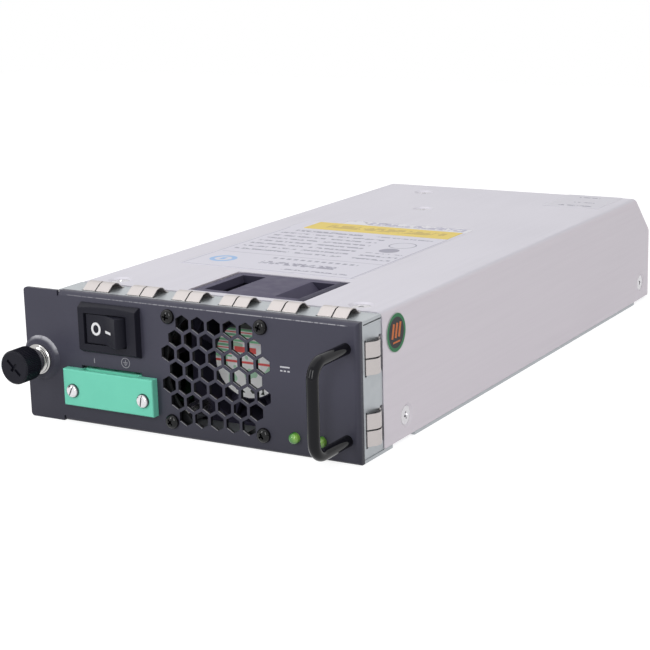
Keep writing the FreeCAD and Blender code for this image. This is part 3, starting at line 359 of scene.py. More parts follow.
def boss_highlight(material):
    """A painted highlight on the upper right shoulder of the boss, on the faces that look towards the light.
    """
    out = reach(material, (THUMB_X, 0, THUMB_Z), (1, 0, 1))
    shoulder = between(material, out, *BOSS_SHOULDER, edge=0.3)
    highlight_patches = graded(material, cloud(material, 700, detail=4), 0.3, 0.5, 0.4, 1)
    # Painted highlight, kept to the shoulder's faces that look up towards the light.
    return times(material, shoulder, highlight_patches, facing_share(material, (0.35, 0, 0.94), 0.4, 0.55), 0.7)


def grille_shade_and_edge_highlight(material):
    """Painted shade on the hole walls, and on walls looking up right a bright edge: bare cut edge and painted
    highlight.
    """
    across, along, up = millimetres(material)
    inside = times(material, between(material, across, *GRILLE["across"]),
                   between(material, up, *GRILLE["up"]))
    # Painted shade on the walls; painted highlight, with bare cut edge, on the walls that face the light.
    level = facing_share(material, FRONT, 0.5, 0.3)
    edge_highlight = times(material, facing_share(material, LEANING_WALL, 0.9, 0.97),
                   between(material, along, -0.1, 0.45))
    return times(material, inside, level), times(material, inside, edge_highlight, 0.7)


def panel_paint():
    """Dark satin paint, finely grained, with painted highlights (the bend partly wear) and painted shade in
    holes and low down.
    """
    paint = finish("dark panel paint", (0.045, 0.044, 0.066), 0.42, gloss=0.28)
    tone = blend(paint, cloud(paint, 60), (0.048, 0.047, 0.069), (0.058, 0.057, 0.084))
    # Painted shade: the tone darkens towards the bottom of the panel.
    painted_low_shade = graded(paint, millimetres(paint)[2], 2, 24, 0.5, 0)
    tone = blend(paint, painted_low_shade, tone, (0.014, 0.014, 0.02))
    # Painted shade on the hole walls, painted highlight on their edges that face the light.
    wall_shade, edge_highlight = grille_shade_and_edge_highlight(paint)
    tone = blend(paint, wall_shade, tone, (0.008, 0.008, 0.011))
    # Painted highlights on the bend, the boss and the hole edges; the bend line is partly worn paint.
    painted_light = most(paint, bend_highlight_and_wear(paint), boss_highlight(paint), edge_highlight)
    tint(paint, painted_light, tone, (0.6, 0.6, 0.64))
    roughened(paint, cloud(paint, 900), 0.36, 0.5)
    raised(paint, cloud(paint, 2600, detail=1), 0.02, 0.5)
    return paint


# %% [markdown]
# Bare and plated steel
#
# The frame and tray are galvanised, the cover is satin sheet, and the screws and ferrule are nickel plated.
# One grey could serve them all, but their marks tell them apart: flat cells on zinc, long streaks on rolled
# sheet, fine scratches on bright plate.

# %% Bare and plated steel
# The box behind the grille where the zinc gets painted shade.
GRILLE_GAP = {"across": (-25, 25), "along": (1.0, 4.3), "up": (3, 39)}


def zinc():
    """Galvanised steel with a faint pale spangle, and painted shade in the narrow gap behind the grille."""
    steel = finish("galvanised steel", (0.5, 0.53, 0.56), 0.42, 0.75)
    flakes = add_node(steel, "TexVoronoi", Vector=place_of(steel), Scale=420.0)
    shade = add_node(steel, "SeparateXYZ", Vector=flakes.outputs["Color"]).outputs["X"]
    # Painted shade: the zinc in the narrow gap behind the grille is darkened.
    limits = zip(millimetres(steel), GRILLE_GAP.values())
    gap_shade = times(steel, *[between(steel, value, *span) for value, span in limits])
    tone = blend(steel, shade, (0.43, 0.455, 0.475), (0.45, 0.475, 0.495))
    tint(steel, gap_shade, tone, (0.03, 0.032, 0.036))
    roughened(steel, cloud(steel, 300), 0.40, 0.46)
    raised(steel, shade, 0.006, 0.15)
    return steel


def satin_steel():
    """The cover's satin sheet: rolling streaks along its depth, faint clouds, and painted light on its right
    side.
    """
    steel = finish("satin cover steel", (0.66, 0.65, 0.68), 0.55, 0.6)
    streaks = cloud(steel, 900, (1, 0.02, 1), 2)
    tone = blend(steel, cloud(steel, 22, detail=5), (0.562, 0.546, 0.60), (0.624, 0.608, 0.66))
    light = graded(steel, streaks, 0.35, 0.65, 0, 0.5)
    tone = blend(steel, light, tone, (0.645, 0.63, 0.682))
    # Painted light: the faces that look right get their own lighter tone.
    side = facing_share(steel, RIGHT, 0.5, 0.9)
    tint(steel, side, tone, (0.68, 0.638, 0.685))
    roughened(steel, streaks, 0.5, 0.6)
    raised(steel, streaks, 0.004, 0.3)
    return steel


def bright_steel(name, colour, roughness, streak=(1, 1, 1)):
    """Bright plated metal with fine handling marks."""
    steel = finish(name, colour, roughness, 0.95)
    marks = cloud(steel, 1800, streak, 4)
    dull = [c * 0.95 for c in colour]
    tint(steel, graded(steel, marks, 0.35, 0.65), dull, colour)
    roughened(steel, marks, roughness * 0.8, roughness * 1.3)
    return steel


def slotted_nickel():
    """The plug's slotted screws: bright domes with a painted dark reflection on their steep rims."""
    steel = bright_steel("slotted screw plate", (0.72, 0.71, 0.73), 0.16)
    # Painted reflection: the steep rims are darkened, as a reflection of the dark surroundings.
    rim = facing_share(steel, FRONT, 0.75, 0.45)
    marks = drawn_from(steel, "Base Color")
    tint(steel, rim, marks, (0.12, 0.12, 0.13))
    return steel


# %% [markdown]
# Plastics, board, lens and fan label
#
# A moulding takes over the fine grain of its mould, so one recipe serves the switch, the plug, the knob and
# the fan. The board and the fan's paper label have patterns of their own, made from bricks and from stripes
# and fields in millimetres. The lamps' yellow-green lit side, the fan's pale top and the label's dark top
# band are painted light and shade, set by the way a face looks and by height.

# %% Plastics
# Painted light on the fan's top, and its right rim left in painted shade.
LIT_FAN_TOP = (30, 36)
SHADED_FAN_RIM = (17.5, 16)


def moulded(name, dark, light, roughness, grain=1800.0, gloss=0.5):
    """Moulded plastic or painted metal with a soft colour drift and a fine spark-eroded grain."""
    plastic = finish(name, light, roughness, gloss=gloss)
    tint(plastic, cloud(plastic, 140), dark, light)
    grains = cloud(plastic, grain, detail=2)
    roughened(plastic, grains, roughness * 0.85, roughness * 1.15)
    raised(plastic, grains, 0.012, 0.35)
    return plastic


def fan_plastic():
    """Dark plastic with painted light on the frame's top where it faces up or right, and painted shade at its
    right rim.
    """
    plastic = moulded("dark fan plastic", (0.031, 0.029, 0.048), (0.039, 0.037, 0.060), 0.5, 300, 0.05)
    across, _, up = millimetres(plastic)
    # Painted light: faces looking up or right near the top are paler, except near the right rim.
    lit_facings = most(plastic, facing_share(plastic, UP, 0.4, 0.8),
                      facing_share(plastic, RIGHT, 0.5, 0.9, full=0.6))
    painted_light = times(plastic, lit_facings, graded(plastic, up, *LIT_FAN_TOP),
                 graded(plastic, across, *SHADED_FAN_RIM, 0.2, 1))
    dark = drawn_from(plastic, "Base Color")
    tint(plastic, painted_light, dark, (0.108, 0.099, 0.15))
    return plastic


# %% Board, lens and fan label
STRIPE_STEP = 1.7
RED_FIELD = {"across": (-4.8, 2.9), "up": (23.4, 25.2)}
RED_LINE = (20.1, 20.8)
# The last span is the label's top band, darkened as a painted shadow of the fan's rim.
PATCHES_UP, BITS_UP, SHADOWED_TOP = (13.5, 26.5), (11, 13), (30.2, 31)


def board_laminate():
    """Deep green circuit board with paler tracks under its varnish."""
    board = finish("board laminate", (0.008, 0.04, 0.018), 0.35, coat=0.3)
    tracks = add_node(board, "TexBrick", Vector=place_of(board), Scale=160.0, Mortar_Size=0.04)
    share = tracks.outputs["Fac"]
    tint(board, share, (0.006, 0.026, 0.012), (0.016, 0.055, 0.026))
    raised(board, share, 0.03, 0.5)
    return board


def lamp_lens():
    """Clear green lens, yellow-green towards the lit side."""
    lens = finish("green lamp lens", (0.12, 0.5, 0.03), 0.1, coat=0.5)
    lit = facing_share(lens, (0.8, -0.5, 0.3), 0.35, 0.95)
    deep = blend(lens, cloud(lens, 500), (0.03, 0.20, 0.02), (0.06, 0.28, 0.03))
    tint(lens, lit, deep, (0.26, 0.53, 0.08))
    return lens


def fan_label_print():
    """White paper with stripes, a red field, a red line, green patches and black bits, and a painted shadow
    along its top.
    """
    paper = finish("fan label paper", (0.8, 0.82, 0.81), 0.55)
    across, _, up = millimetres(paper)
    striped = most(paper, graded(paper, up, 26.2, 26.4),
                   times(paper, graded(paper, across, -5.6, -5.9), graded(paper, up, 21.6, 21.8)))
    patches = times(paper, graded(paper, cloud(paper, 330, detail=0), 0.57, 0.62),
                    between(paper, up, *PATCHES_UP), 0.7)
    green = most(paper, times(paper, striped, stripes(paper, up, 27, STRIPE_STEP, 0.7)), patches)
    red = most(paper, times(paper, striped, stripes(paper, up, 27.85, STRIPE_STEP, 0.35)),
               times(paper, between(paper, up, *RED_FIELD["up"]),
                     between(paper, across, *RED_FIELD["across"])),
               between(paper, up, *RED_LINE))
    bits = times(paper, graded(paper, cloud(paper, 650, detail=0), 0.56, 0.6), between(paper, up, *BITS_UP))
    # The black bits are print; the dark band along the top is a painted shadow.
    dark = most(paper, bits, graded(paper, up, *SHADOWED_TOP))
    tone = blend(paper, green, (0.97, 0.975, 0.98), (0.24, 0.60, 0.34))
    tone = blend(paper, red, tone, (0.86, 0.12, 0.11))
    tint(paper, dark, tone, (0.015, 0.02, 0.017))
    return paper


# %% Table of finishes
DULL = 0.13
FINISHES = {
    "panel_paint": panel_paint(),
    "galvanised_steel": zinc(),
    "cover_steel": satin_steel(),
    "spring_steel": bright_steel("spring finger steel", (0.52, 0.485, 0.475), 0.36, (1, 0.1, 1)),
    "handle_black": moulded("black handle enamel", (0.003, 0.003, 0.005), (0.005, 0.005, 0.008), 0.06, 900,
                            gloss=0.2),
    "switch_plastic": moulded("black switch plastic", (0.013, 0.013, 0.020), (0.018, 0.018, 0.027), 0.4,
                              gloss=DULL),
    "plug_green": moulded("green plug plastic", (0.185, 0.68, 0.505), (0.215, 0.745, 0.555), 0.42, 1200,
                          gloss=DULL),
    "screw_black": moulded("black screw finish", (0.002, 0.002, 0.003), (0.004, 0.004, 0.005), 0.1,
                           gloss=0.3),
    "screw_nickel": bright_steel("nickel screw plate", (0.6, 0.59, 0.61), 0.2),
    "slotted_nickel": slotted_nickel(),
    "ferrule_nickel": bright_steel("nickel ferrule plate", (0.52, 0.51, 0.50), 0.16),
    "knob_black": moulded("black knob plastic", (0.009, 0.009, 0.015), (0.013, 0.013, 0.020), 0.38,
                          gloss=DULL),
    "lens_green": lamp_lens(),
    "fan_plastic": fan_plastic(),
    "label_white": fan_label_print(),
    "board_green": board_laminate(),
    "film": moulded("clear brown film", (0.55, 0.42, 0.20), (0.62, 0.50, 0.26), 0.25),
    "can_sleeve": moulded("capacitor sleeve", (0.012, 0.014, 0.03), (0.02, 0.025, 0.05), 0.25),
    "ferrite": moulded("ferrite", (0.02, 0.02, 0.021), (0.034, 0.033, 0.033), 0.55),
    "potting": moulded("yellow winding tape", (0.62, 0.46, 0.08), (0.74, 0.58, 0.14), 0.35),
    "copper": bright_steel("gold-plated copper", (0.83, 0.60, 0.25), 0.25),
    "heatsink_aluminium": bright_steel("heatsink aluminium", (0.68, 0.68, 0.69), 0.35, (0.05, 1, 1)),
}
SLOT_OF = {name: node.active_material.name.split(".")[0] for name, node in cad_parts.items()}
for name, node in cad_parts.items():
    node.data.materials[0] = FINISHES[SLOT_OF[name]]
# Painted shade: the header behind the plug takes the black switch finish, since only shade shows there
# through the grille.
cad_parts["terminal_header"].data.materials[0] = FINISHES["switch_plastic"]
print("finishes", len(FINISHES))

# %% [markdown]
# Modelling by hand, in code
#
# The pieces below are shaped as at the screen: add a primitive, pick faces or edges, extrude, inset, bevel,
# spin. Two habits keep that safe in a script. One object is chosen alone before an operator runs, and faces
# are picked by where they lie or which way they look. A finished piece has its place in its mesh, and rides
# on the body that carries it.

# %% Picking and shaping
DOUBLE = 0.001 * MM


def alone(piece):
    """Makes one object the only chosen one."""
    bpy.ops.object.select_all(action="DESELECT")
    piece.select_set(True)
    bpy.context.view_layer.objects.active = piece


def started(add, **values):
    """A new primitive, in edit mode, chosen alone."""
    bpy.ops.object.select_all(action="DESELECT")
    add(**values)
    bpy.ops.object.transform_apply(location=True, rotation=True, scale=True)
    bpy.ops.object.mode_set(mode="EDIT")
    return bpy.context.object


def cylinder(sides, radius, low, high):
    """An upright cylinder in edit mode, from one height in millimetres to another."""
    return started(bpy.ops.mesh.primitive_cylinder_add, vertices=sides, radius=radius * MM,
                   depth=(high - low) * MM, location=(0, 0, (low + high) / 2 * MM))


def pick_all():
    """In edit mode, selects everything."""
    bpy.ops.mesh.select_all(action="SELECT")


def blank():
    """A new piece that has no corner yet, in edit mode."""
    piece = started(bpy.ops.mesh.primitive_plane_add, size=MM)
    pick_all()
    bpy.ops.mesh.delete(type="VERT")
    return piece


def pick(test, kind="FACE"):
    """In edit mode, selects the faces, edges or corners that pass a test."""
    bpy.ops.mesh.select_mode(type=kind)
    bpy.ops.mesh.select_all(action="DESELECT")
    mesh = bpy.context.object.data
    shape = bmesh.from_edit_mesh(mesh)
    for part in {"FACE": shape.faces, "EDGE": shape.edges, "VERT": shape.verts}[kind]:
        if test(part):
            part.select_set(True)
    shape.select_flush_mode()
    bmesh.update_edit_mesh(mesh)


def top_face(face):
    return face.normal.z > 0.9


def bottom_face(face):
    return face.normal.z < -0.9


def push(y=0.0, z=0.0):
    """Extrudes what is picked, by millimetres."""
    bpy.ops.mesh.extrude_region_move(TRANSFORM_OT_translate={"value": (0, y * MM, z * MM)})


def widen(x, y):
    """Scales what is picked about its middle."""
    bpy.ops.transform.resize(value=(x, y, 1))


def close_up():
    """Merges doubled corners and turns every face outwards."""
    pick_all()
    bpy.ops.mesh.remove_doubles(threshold=DOUBLE)
    bpy.ops.mesh.normals_make_consistent(inside=False)


# %% Finishing and copying
FRONTWARD = Euler((math.pi / 2, 0, 0))
RIGHTWARD = Euler((0, math.pi / 2, 0))
LEFTWARD = Euler((0, -math.pi / 2, 0))
UPWARD = Euler((0, 0, 0))
DOWNWARD = Euler((math.pi, 0, 0))
SIDEWARD = Euler((math.pi / 2, 0, math.pi / 2))


def finished(piece, modifier=None, **values):
    """Leaves edit mode and, where a modifier is named, applies it."""
    bpy.ops.object.mode_set(mode="OBJECT")
    alone(piece)
    if modifier:
        added = piece.modifiers.new(modifier, modifier)
        for name, value in values.items():
            setattr(added, name, value)
        bpy.ops.object.modifier_apply(modifier=added.name)
    return piece


def carried(piece, slot, body, *nodes, look=None):
    """Gives a piece the finish of its slot, or a look when one is given, and lets it ride on a body in place
    of the nodes it shows.
    """
    piece.data.materials.clear()
    piece.data.materials.append(look or FINISHES[slot])
    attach(piece, body)
    if nodes:
        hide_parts(*nodes)
    print(piece.name, len(piece.data.polygons), "faces")


def settle(piece, name, slot, body, *nodes, look=None, angle=35):
    """Puts a piece's place into its mesh, smooths it, names and finishes it, and lets it ride."""
    finished(piece)
    bpy.ops.object.transform_apply(location=True, rotation=True, scale=True)
    bpy.ops.object.shade_smooth_by_angle(angle=math.radians(angle))
    piece.name = piece.data.name = name
    carried(piece, slot, body, *nodes, look=look)


def turn_to(piece, place, facing, roll=0.0):
    """Sets an upright piece at a place, looking along a direction."""
    spun = Matrix.Rotation(roll, 4, "Z")
    piece.matrix_world = Matrix.Translation(place) @ facing.to_matrix().to_4x4() @ spun


def twin_of(piece):
    """A copy of a piece with its own mesh."""
    alone(piece)
    bpy.ops.object.duplicate()
    return bpy.context.object


def copies(piece, name, slot, places, node, roll, look=None):
    """Copies of one upright piece, set at places, turned to look along a direction and rolled on."""
    for number, (place, facing) in enumerate(places, 1):
        twin = twin_of(piece)
        turn_to(twin, place, facing, roll * number)
        settle(twin, f"{name}_{number}", slot, "chassis", node, look=look)
    bpy.data.objects.remove(piece)


def cut(piece, cutter):
    """Takes one shape out of another."""
    finished(cutter)
    finished(piece, "BOOLEAN", operation="DIFFERENCE", solver="EXACT", object=cutter)
    bpy.data.objects.remove(cutter)


# %% [markdown]
# Folded sheets and mouldings
#
# Sheet metal never has a knife edge: the shears and the paint leave a small round that catches the light.
# The solids have the right form, so a copy of each is taken, its triangles are merged back into flat faces,
# and every sharp edge is bevelled by a tenth of a millimetre or two. The bevel hardens the normals, so flat
# faces stay flat in reflections.

# %% Broken edges
FLAT, SMOOTH, SHARP = (math.radians(v) for v in (0.3, 28, 32))
SHEET_EDGE, MOULDED_EDGE, ROCKER_EDGE, STRIP_EDGE = 0.12, 0.2, 0.3, 0.05


def softened(node, name, rounding, body="chassis", bevel_steps=2, shaped=None):
    """A piece with a solid's form, shaped further where a step is given, and its edges broken."""
    piece = bpy.data.objects.new(name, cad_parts[node].data.copy())
    bpy.context.scene.collection.objects.link(piece)
    alone(piece)
    bpy.ops.mesh.customdata_custom_splitnormals_clear()
    bpy.ops.object.mode_set(mode="EDIT")
    pick_all()
    bpy.ops.mesh.remove_doubles(threshold=DOUBLE)
    bpy.ops.mesh.dissolve_limited(angle_limit=FLAT)
    if shaped:
        shaped(piece)
    finished(piece)
    bpy.ops.object.shade_smooth_by_angle(angle=SMOOTH)
    finished(piece, "BEVEL", width=rounding * MM, segments=bevel_steps, limit_method="ANGLE",
             angle_limit=SHARP, harden_normals=True)
    carried(piece, SLOT_OF[node], body, node)


SHEETS = {"front_panel": "panel_sheet", "front_frame": "frame_sheet", "bottom_tray": "tray_sheet",
          "rear_panel": "rear_sheet"}
MOULDINGS = {"terminal_plug": "plug_moulding", "switch_body": "switch_moulding", "fan_frame": "fan_moulding"}
for node, name in SHEETS.items():
    softened(node, name, SHEET_EDGE)
for node, name in MOULDINGS.items():
    softened(node, name, MOULDED_EDGE, bevel_steps=3)
softened("switch_rocker", "rocker_moulding", ROCKER_EDGE, "rocker", 3)

# %% [markdown]
# Cover and contact fingers
#
# The cover is dimpled round each screw, so that the flat heads sit below its face. One cutter is modelled as
# a shallow cone with a second cone under it, and a copy of it is taken out of the sheet at every screw. The
# contact fingers are bows in the solids; here their flanks are drawn straight and their front feet forward,
# so that each finger rises in a ramp to a rounded crest, as bent spring strip does.

# %% Cover with dimples
ROOF, MID_X = 41.2, -5.3
COVER_SIDES = ((-58.3, LEFTWARD), (47.7, RIGHTWARD))
COVER_SCREWS = ((MID_X - 42.8, 20.4), (MID_X + 42.8, 20.4), (-43, 122.4), (-18.6, 169.8), (-35.6, 204))
SIDE_SCREWS_Y, SIDE_SCREWS_Z = (28.2, 224.9), 7.4
TOP_SEATS = [(spot(x, y, ROOF), UPWARD) for x, y in COVER_SCREWS]
SIDE_SEATS = [(spot(x, y, SIDE_SCREWS_Z), facing) for x, facing in COVER_SIDES for y in SIDE_SCREWS_Y]
DISH = {"rim": 3.85, "seat": 2.95, "neck": 1.9, "depth": 0.5, "through": 1.2}
SCREW_SIDES = 40


def dimple_cutter():
    """An upright cutter for one dimple, whose seat lies below height zero."""
    slope = (DISH["rim"] - DISH["seat"]) / DISH["depth"]
    over = 0.1
    cutter = started(bpy.ops.mesh.primitive_cone_add, vertices=SCREW_SIDES, radius1=DISH["seat"] * MM,
                     radius2=(DISH["rim"] + over * slope) * MM, depth=(DISH["depth"] + over) * MM,
                     location=(0, 0, (over - DISH["depth"]) / 2 * MM))
    pick(bottom_face)
    push(z=DISH["depth"] - DISH["through"])
    widen(DISH["neck"] / DISH["seat"], DISH["neck"] / DISH["seat"])
    return finished(cutter)


def dimpled(cover):
    """Takes a dimple out of the cover at every screw."""
    finished(cover)
    for place, facing in TOP_SEATS + SIDE_SEATS:
        cutter = dimple_cutter()
        turn_to(cutter, place, facing)
        cut(cover, cutter)


softened("top_cover", "cover_sheet", SHEET_EDGE, shaped=dimpled)

# %% Contact fingers
FLANKS = ((2.0, 3.0, 0.39), (0.9, 1.9, 0.08))  # nearest and farthest from the crest, and how far it drops
BOW_RISE, CREST_HALF, RAMP_STRETCH = 2.2, 0.2, 1.14
TOP_REACH = 50


def ramped(finger):
    """Lowers the flanks of a bowed finger and draws its front half forward."""
    corners = [corner.co for corner in bmesh.from_edit_mesh(finger.data).verts]
    middle = sum(corners, Vector()) / len(corners)
    side = middle.x - spot(MID_X, 0, 0).x
    on_top = abs(side) < TOP_REACH * MM
    outward = Vector((0, 0, 1)) if on_top else Vector((math.copysign(1, side), 0, 0))
    crest = max(corners, key=outward.dot).copy()
    bowed = crest.dot(outward) - BOW_RISE * MM
    for near, far, drop in FLANKS:
        pick(lambda corner: near * MM < abs(corner.co.y - crest.y) < far * MM
             and corner.co.dot(outward) > bowed, "VERT")
        bpy.ops.transform.translate(value=-outward * drop * MM)
    pick(lambda corner: corner.co.y < crest.y - CREST_HALF * MM, "VERT")
    bpy.ops.transform.resize(value=(1, RAMP_STRETCH, 1), center_override=crest)


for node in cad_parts:
    if "_finger_" in node:
        softened(node, node.replace("finger", "spring"), STRIP_EDGE, shaped=ramped)

# %% [markdown]
# Pull handle
#
# The handle is one steel rod bent to a bow and dipped in black enamel. A curve with a round section would do;
# here a circle is extruded towards the front, spun through a quarter turn about the centre of each bend, and
# extruded again, just as the rod runs through the bender.

# %% Pull handle
low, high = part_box("pull_handle")
ROD = (high.x - low.x) / 2
ROD_SIDES, BEND_STEPS, BEND = 32, 12, 4.8 * MM
front_y = low.y + ROD
lower_z, upper_z = low.z + ROD, high.z - ROD
rod_x = (low.x + high.x) / 2
handle = started(bpy.ops.mesh.primitive_circle_add, vertices=ROD_SIDES, radius=ROD, fill_type="NGON",
                 location=(rod_x, high.y, upper_z), rotation=FRONTWARD)
pick_all()
push(y=(front_y + BEND - high.y) / MM)
for centre_z, straight in ((upper_z - BEND, lower_z - upper_z + 2 * BEND), (lower_z + BEND, 0)):
    centre = (rod_x, front_y + BEND, centre_z)
    bpy.ops.mesh.spin(steps=BEND_STEPS, angle=math.pi / 2, center=centre, axis=(-1, 0, 0))
    if straight:
        push(z=straight / MM)
push(y=(high.y - front_y - BEND) / MM)
close_up()
settle(handle, "handle_rod", "handle_black", "chassis", "pull_handle")

# %% [markdown]
# Screws
#
# Three kinds of screw can be seen: black pan heads on the fan, bright slotted domes on the plug and flat
# countersunk heads in the cover and the tray. Each kind is modelled once, upright at the origin, from a
# cylinder: the rim is bevelled to a dome, the underside is drawn out to a shank, and the drive is cut with a
# second shape. A copy goes to every place, each rolled a little further, as screws end up in a real box.

# %% Pan heads
FAN_SCREW = {"head": 2.25, "rise": 1.5, "shank": 1.5, "length": 20.4}
PLUG_SCREW = {"head": 2.2, "rise": 1.32, "shank": 1.5, "length": 7.8}
DOME, DRIVE_LEAN = 0.95, (0.45, 0.7)
SLOT_SIZE, SLOT_TURN = (6, 0.45, 0.9), 0.9
FAN_CORNERS = [(spot(x, 0, z), FRONTWARD) for x in (-16, 16) for z in (5, 37)]
PLUG_ENDS = [(spot(x, -2.7, 11), FRONTWARD) for x in (-50.7, -24.5)]


def bar_cutter(size, top, turn):
    """A bar in edit mode, centred on a height, to cut a slot with."""
    return started(bpy.ops.mesh.primitive_cube_add, size=1, location=(0, 0, top * MM), rotation=(0, 0, turn),
                   scale=[v * MM for v in size])


def shank_below(head, shank, length):
    """Draws the underside of a head out to a shank."""
    pick(bottom_face)
    bpy.ops.mesh.inset(thickness=(head - shank) * MM)
    push(z=-length)


def drive_cross(screw, span, width, depth, top):
    """Cuts a cross recess whose walls lean inwards."""
    for turn in (0, math.pi / 2):
        bar = bar_cutter((span, width, 2 * depth), top, turn)
        pick(bottom_face)
        widen(*DRIVE_LEAN)
        cut(screw, bar)


def pan_head(head, rise, shank, length):
    """An upright pan head screw, seated at height zero, with a domed rim."""
    screw = cylinder(SCREW_SIDES, head, 0, rise)
    pick(top_face)
    bpy.ops.mesh.bevel(offset=rise * DOME * MM, segments=8, affect="EDGES")
    shank_below(head, shank, length)
    return finished(screw)


black_screw = pan_head(**FAN_SCREW)
drive_cross(black_screw, span=2.6, width=0.7, depth=0.95, top=FAN_SCREW["rise"])
copies(black_screw, "fan_screw", "screw_black", FAN_CORNERS, "fan_screws", roll=0.7)

slot_screw = pan_head(**PLUG_SCREW)
cut(slot_screw, bar_cutter(SLOT_SIZE, PLUG_SCREW["rise"], SLOT_TURN))
copies(slot_screw, "plug_screw", "screw_nickel", PLUG_ENDS, "plug_screws", roll=0.25,
       look=FINISHES["slotted_nickel"])

# %% Countersunk screws
FLAT_HEAD, NECK, SHANK = 2.86, 1.8, 1.4
SHEET_THICK, CROWN, CROWN_EDGE = 1, 0.05, 0.5
REAR_SUNK = 0.06
REAR_SEATS = [(spot(x, 226.25, 0), DOWNWARD) for x in (MID_X - 40, MID_X + 40)]


def sheet_screw(length, sunk):
    """An upright countersunk screw, sunk under the sheet's face, whose head ends at the inner face."""
    screw = cylinder(SCREW_SIDES, FLAT_HEAD, -SHEET_THICK, -sunk)
    pick(bottom_face)
    widen(NECK / FLAT_HEAD, NECK / FLAT_HEAD)
    shank_below(NECK, SHANK, length - SHEET_THICK)
    pick(top_face)
    bpy.ops.mesh.inset(thickness=CROWN_EDGE * MM)
    bpy.ops.transform.translate(value=(0, 0, CROWN * MM))
    finished(screw)
    drive_cross(screw, span=2.9, width=0.7, depth=0.8, top=CROWN - sunk)
    return screw


for name, length, sunk, seats, node in (
        ("cover_screw", 5.0, DISH["depth"], TOP_SEATS, "cover_top_screws"),
        ("side_screw", 3.6, DISH["depth"], SIDE_SEATS, "cover_side_screws"),
        ("rear_screw", 5.0, REAR_SUNK, REAR_SEATS, "rear_screws")):
    copies(sheet_screw(length, sunk), name, "screw_nickel", seats, node, roll=0.6)

# %% [markdown]
# Lamps
#
# Each lamp is a clear green lens pushed through the panel. A half ball on a rod would leave a seam; a
# cylinder whose rim is bevelled almost to its full radius gives the dome in one piece.

# %% Lamp lenses
LENS = {"sides": 32, "radius": 1.65, "tip": 2.05, "root": -7.0, "dome": 0.85}
LENS_X = {"input_indicator": 26.5, "output_indicator": 35.2}
LENS_Z = 5.6
lens = cylinder(LENS["sides"], LENS["radius"], LENS["root"], LENS["tip"])
pick(top_face)
bpy.ops.mesh.bevel(offset=LENS["radius"] * LENS["dome"] * MM, segments=8, affect="EDGES")
finished(lens)
for node, x in LENS_X.items():
    twin = twin_of(lens)
    turn_to(twin, spot(x, 0, LENS_Z), FRONTWARD)
    settle(twin, node.replace("indicator", "lens"), "lens_green", "chassis", node)
bpy.data.objects.remove(lens)

# %% [markdown]
# Thumbscrew
#
# The thumbscrew is a turned steel ferrule pressed into the panel, a black knob that slides over it, and a
# spring between the two. The ferrule is turned from its profile: an outline is drawn point by point and spun
# about the axis. The knob starts as a fine cylinder; every second edge of its wall is pulled in, which makes
# the knurl, and its drive is a long slot with a short cross bar. The spring is one small circle carried round
# and along by a screw.

# %% Ferrule
FERRULE = ((2.98, -1.2), (2.98, 1.2), (4.7, 1.2), (4.7, 2.0), (4.3, 2.2), (4.3, 2.7), (3.6, 2.9), (3.6, 3.2),
           (3.92, 3.4), (3.92, 6.9), (1.32, 6.9), (1.32, -1.2))  # radius and height of each corner
TURNING_STEPS, TURNED_EDGE = 64, 0.08 * MM
ferrule = blank()
outline = bmesh.from_edit_mesh(ferrule.data)
corners = [outline.verts.new((radius * MM, 0, height * MM)) for radius, height in FERRULE]
for one, two in zip(corners, corners[1:] + corners[:1]):
    outline.edges.new((one, two))
bmesh.update_edit_mesh(ferrule.data)
pick_all()
bpy.ops.mesh.spin(steps=TURNING_STEPS, angle=2 * math.pi, center=(0, 0, 0), axis=(0, 0, 1))
close_up()
finished(ferrule, "BEVEL", width=TURNED_EDGE, segments=2, limit_method="ANGLE", angle_limit=math.radians(30))
turn_to(ferrule, spot(THUMB_X, 0, THUMB_Z), FRONTWARD)
settle(ferrule, "ferrule_turning", "ferrule_nickel", "chassis", "thumb_ferrule")

# %% Knob
KNOB_SIDES, KNURL_PULL = 120, 0.965
KNOB = {"radius": 5.3, "front": 13.4, "brim": 12.95, "rear": 6.6, "floor": 11.7, "bore": 4.25, "slope": 0.55}
KNOB_TURN, SLOT_WIDE, SLOT_DEEP = -0.75, 0.95, 1.5
KNOB_SLOTS = ((6.4, KNOB_TURN), (3.0, KNOB_TURN + math.pi / 2))
knob = cylinder(KNOB_SIDES, KNOB["radius"], KNOB["rear"], KNOB["brim"])
pick(top_face)
bpy.ops.mesh.inset(thickness=KNOB["slope"] * MM)
bpy.ops.transform.translate(value=(0, 0, (KNOB["front"] - KNOB["brim"]) * MM))
pick(bottom_face)
bpy.ops.mesh.inset(thickness=(KNOB["radius"] - KNOB["bore"]) * MM)
push(z=KNOB["floor"] - KNOB["rear"])


def groove(corner):
    """Every second corner of the outer wall."""
    outer = math.hypot(corner.co.x, corner.co.y) > (KNOB["radius"] - 0.05) * MM
    turn = math.atan2(corner.co.y, corner.co.x) / (2 * math.pi) * KNOB_SIDES
    return outer and round(turn) % 2 == 0


pick(groove, "VERT")
widen(KNURL_PULL, KNURL_PULL)
finished(knob)
for span, turn in KNOB_SLOTS:
    cut(knob, bar_cutter((span, SLOT_WIDE, SLOT_DEEP), KNOB["front"], turn))
turn_to(knob, spot(THUMB_X, 0, THUMB_Z), FRONTWARD)
settle(knob, "knob_turning", "knob_black", "thumb_screw", "thumb_knob", angle=25)

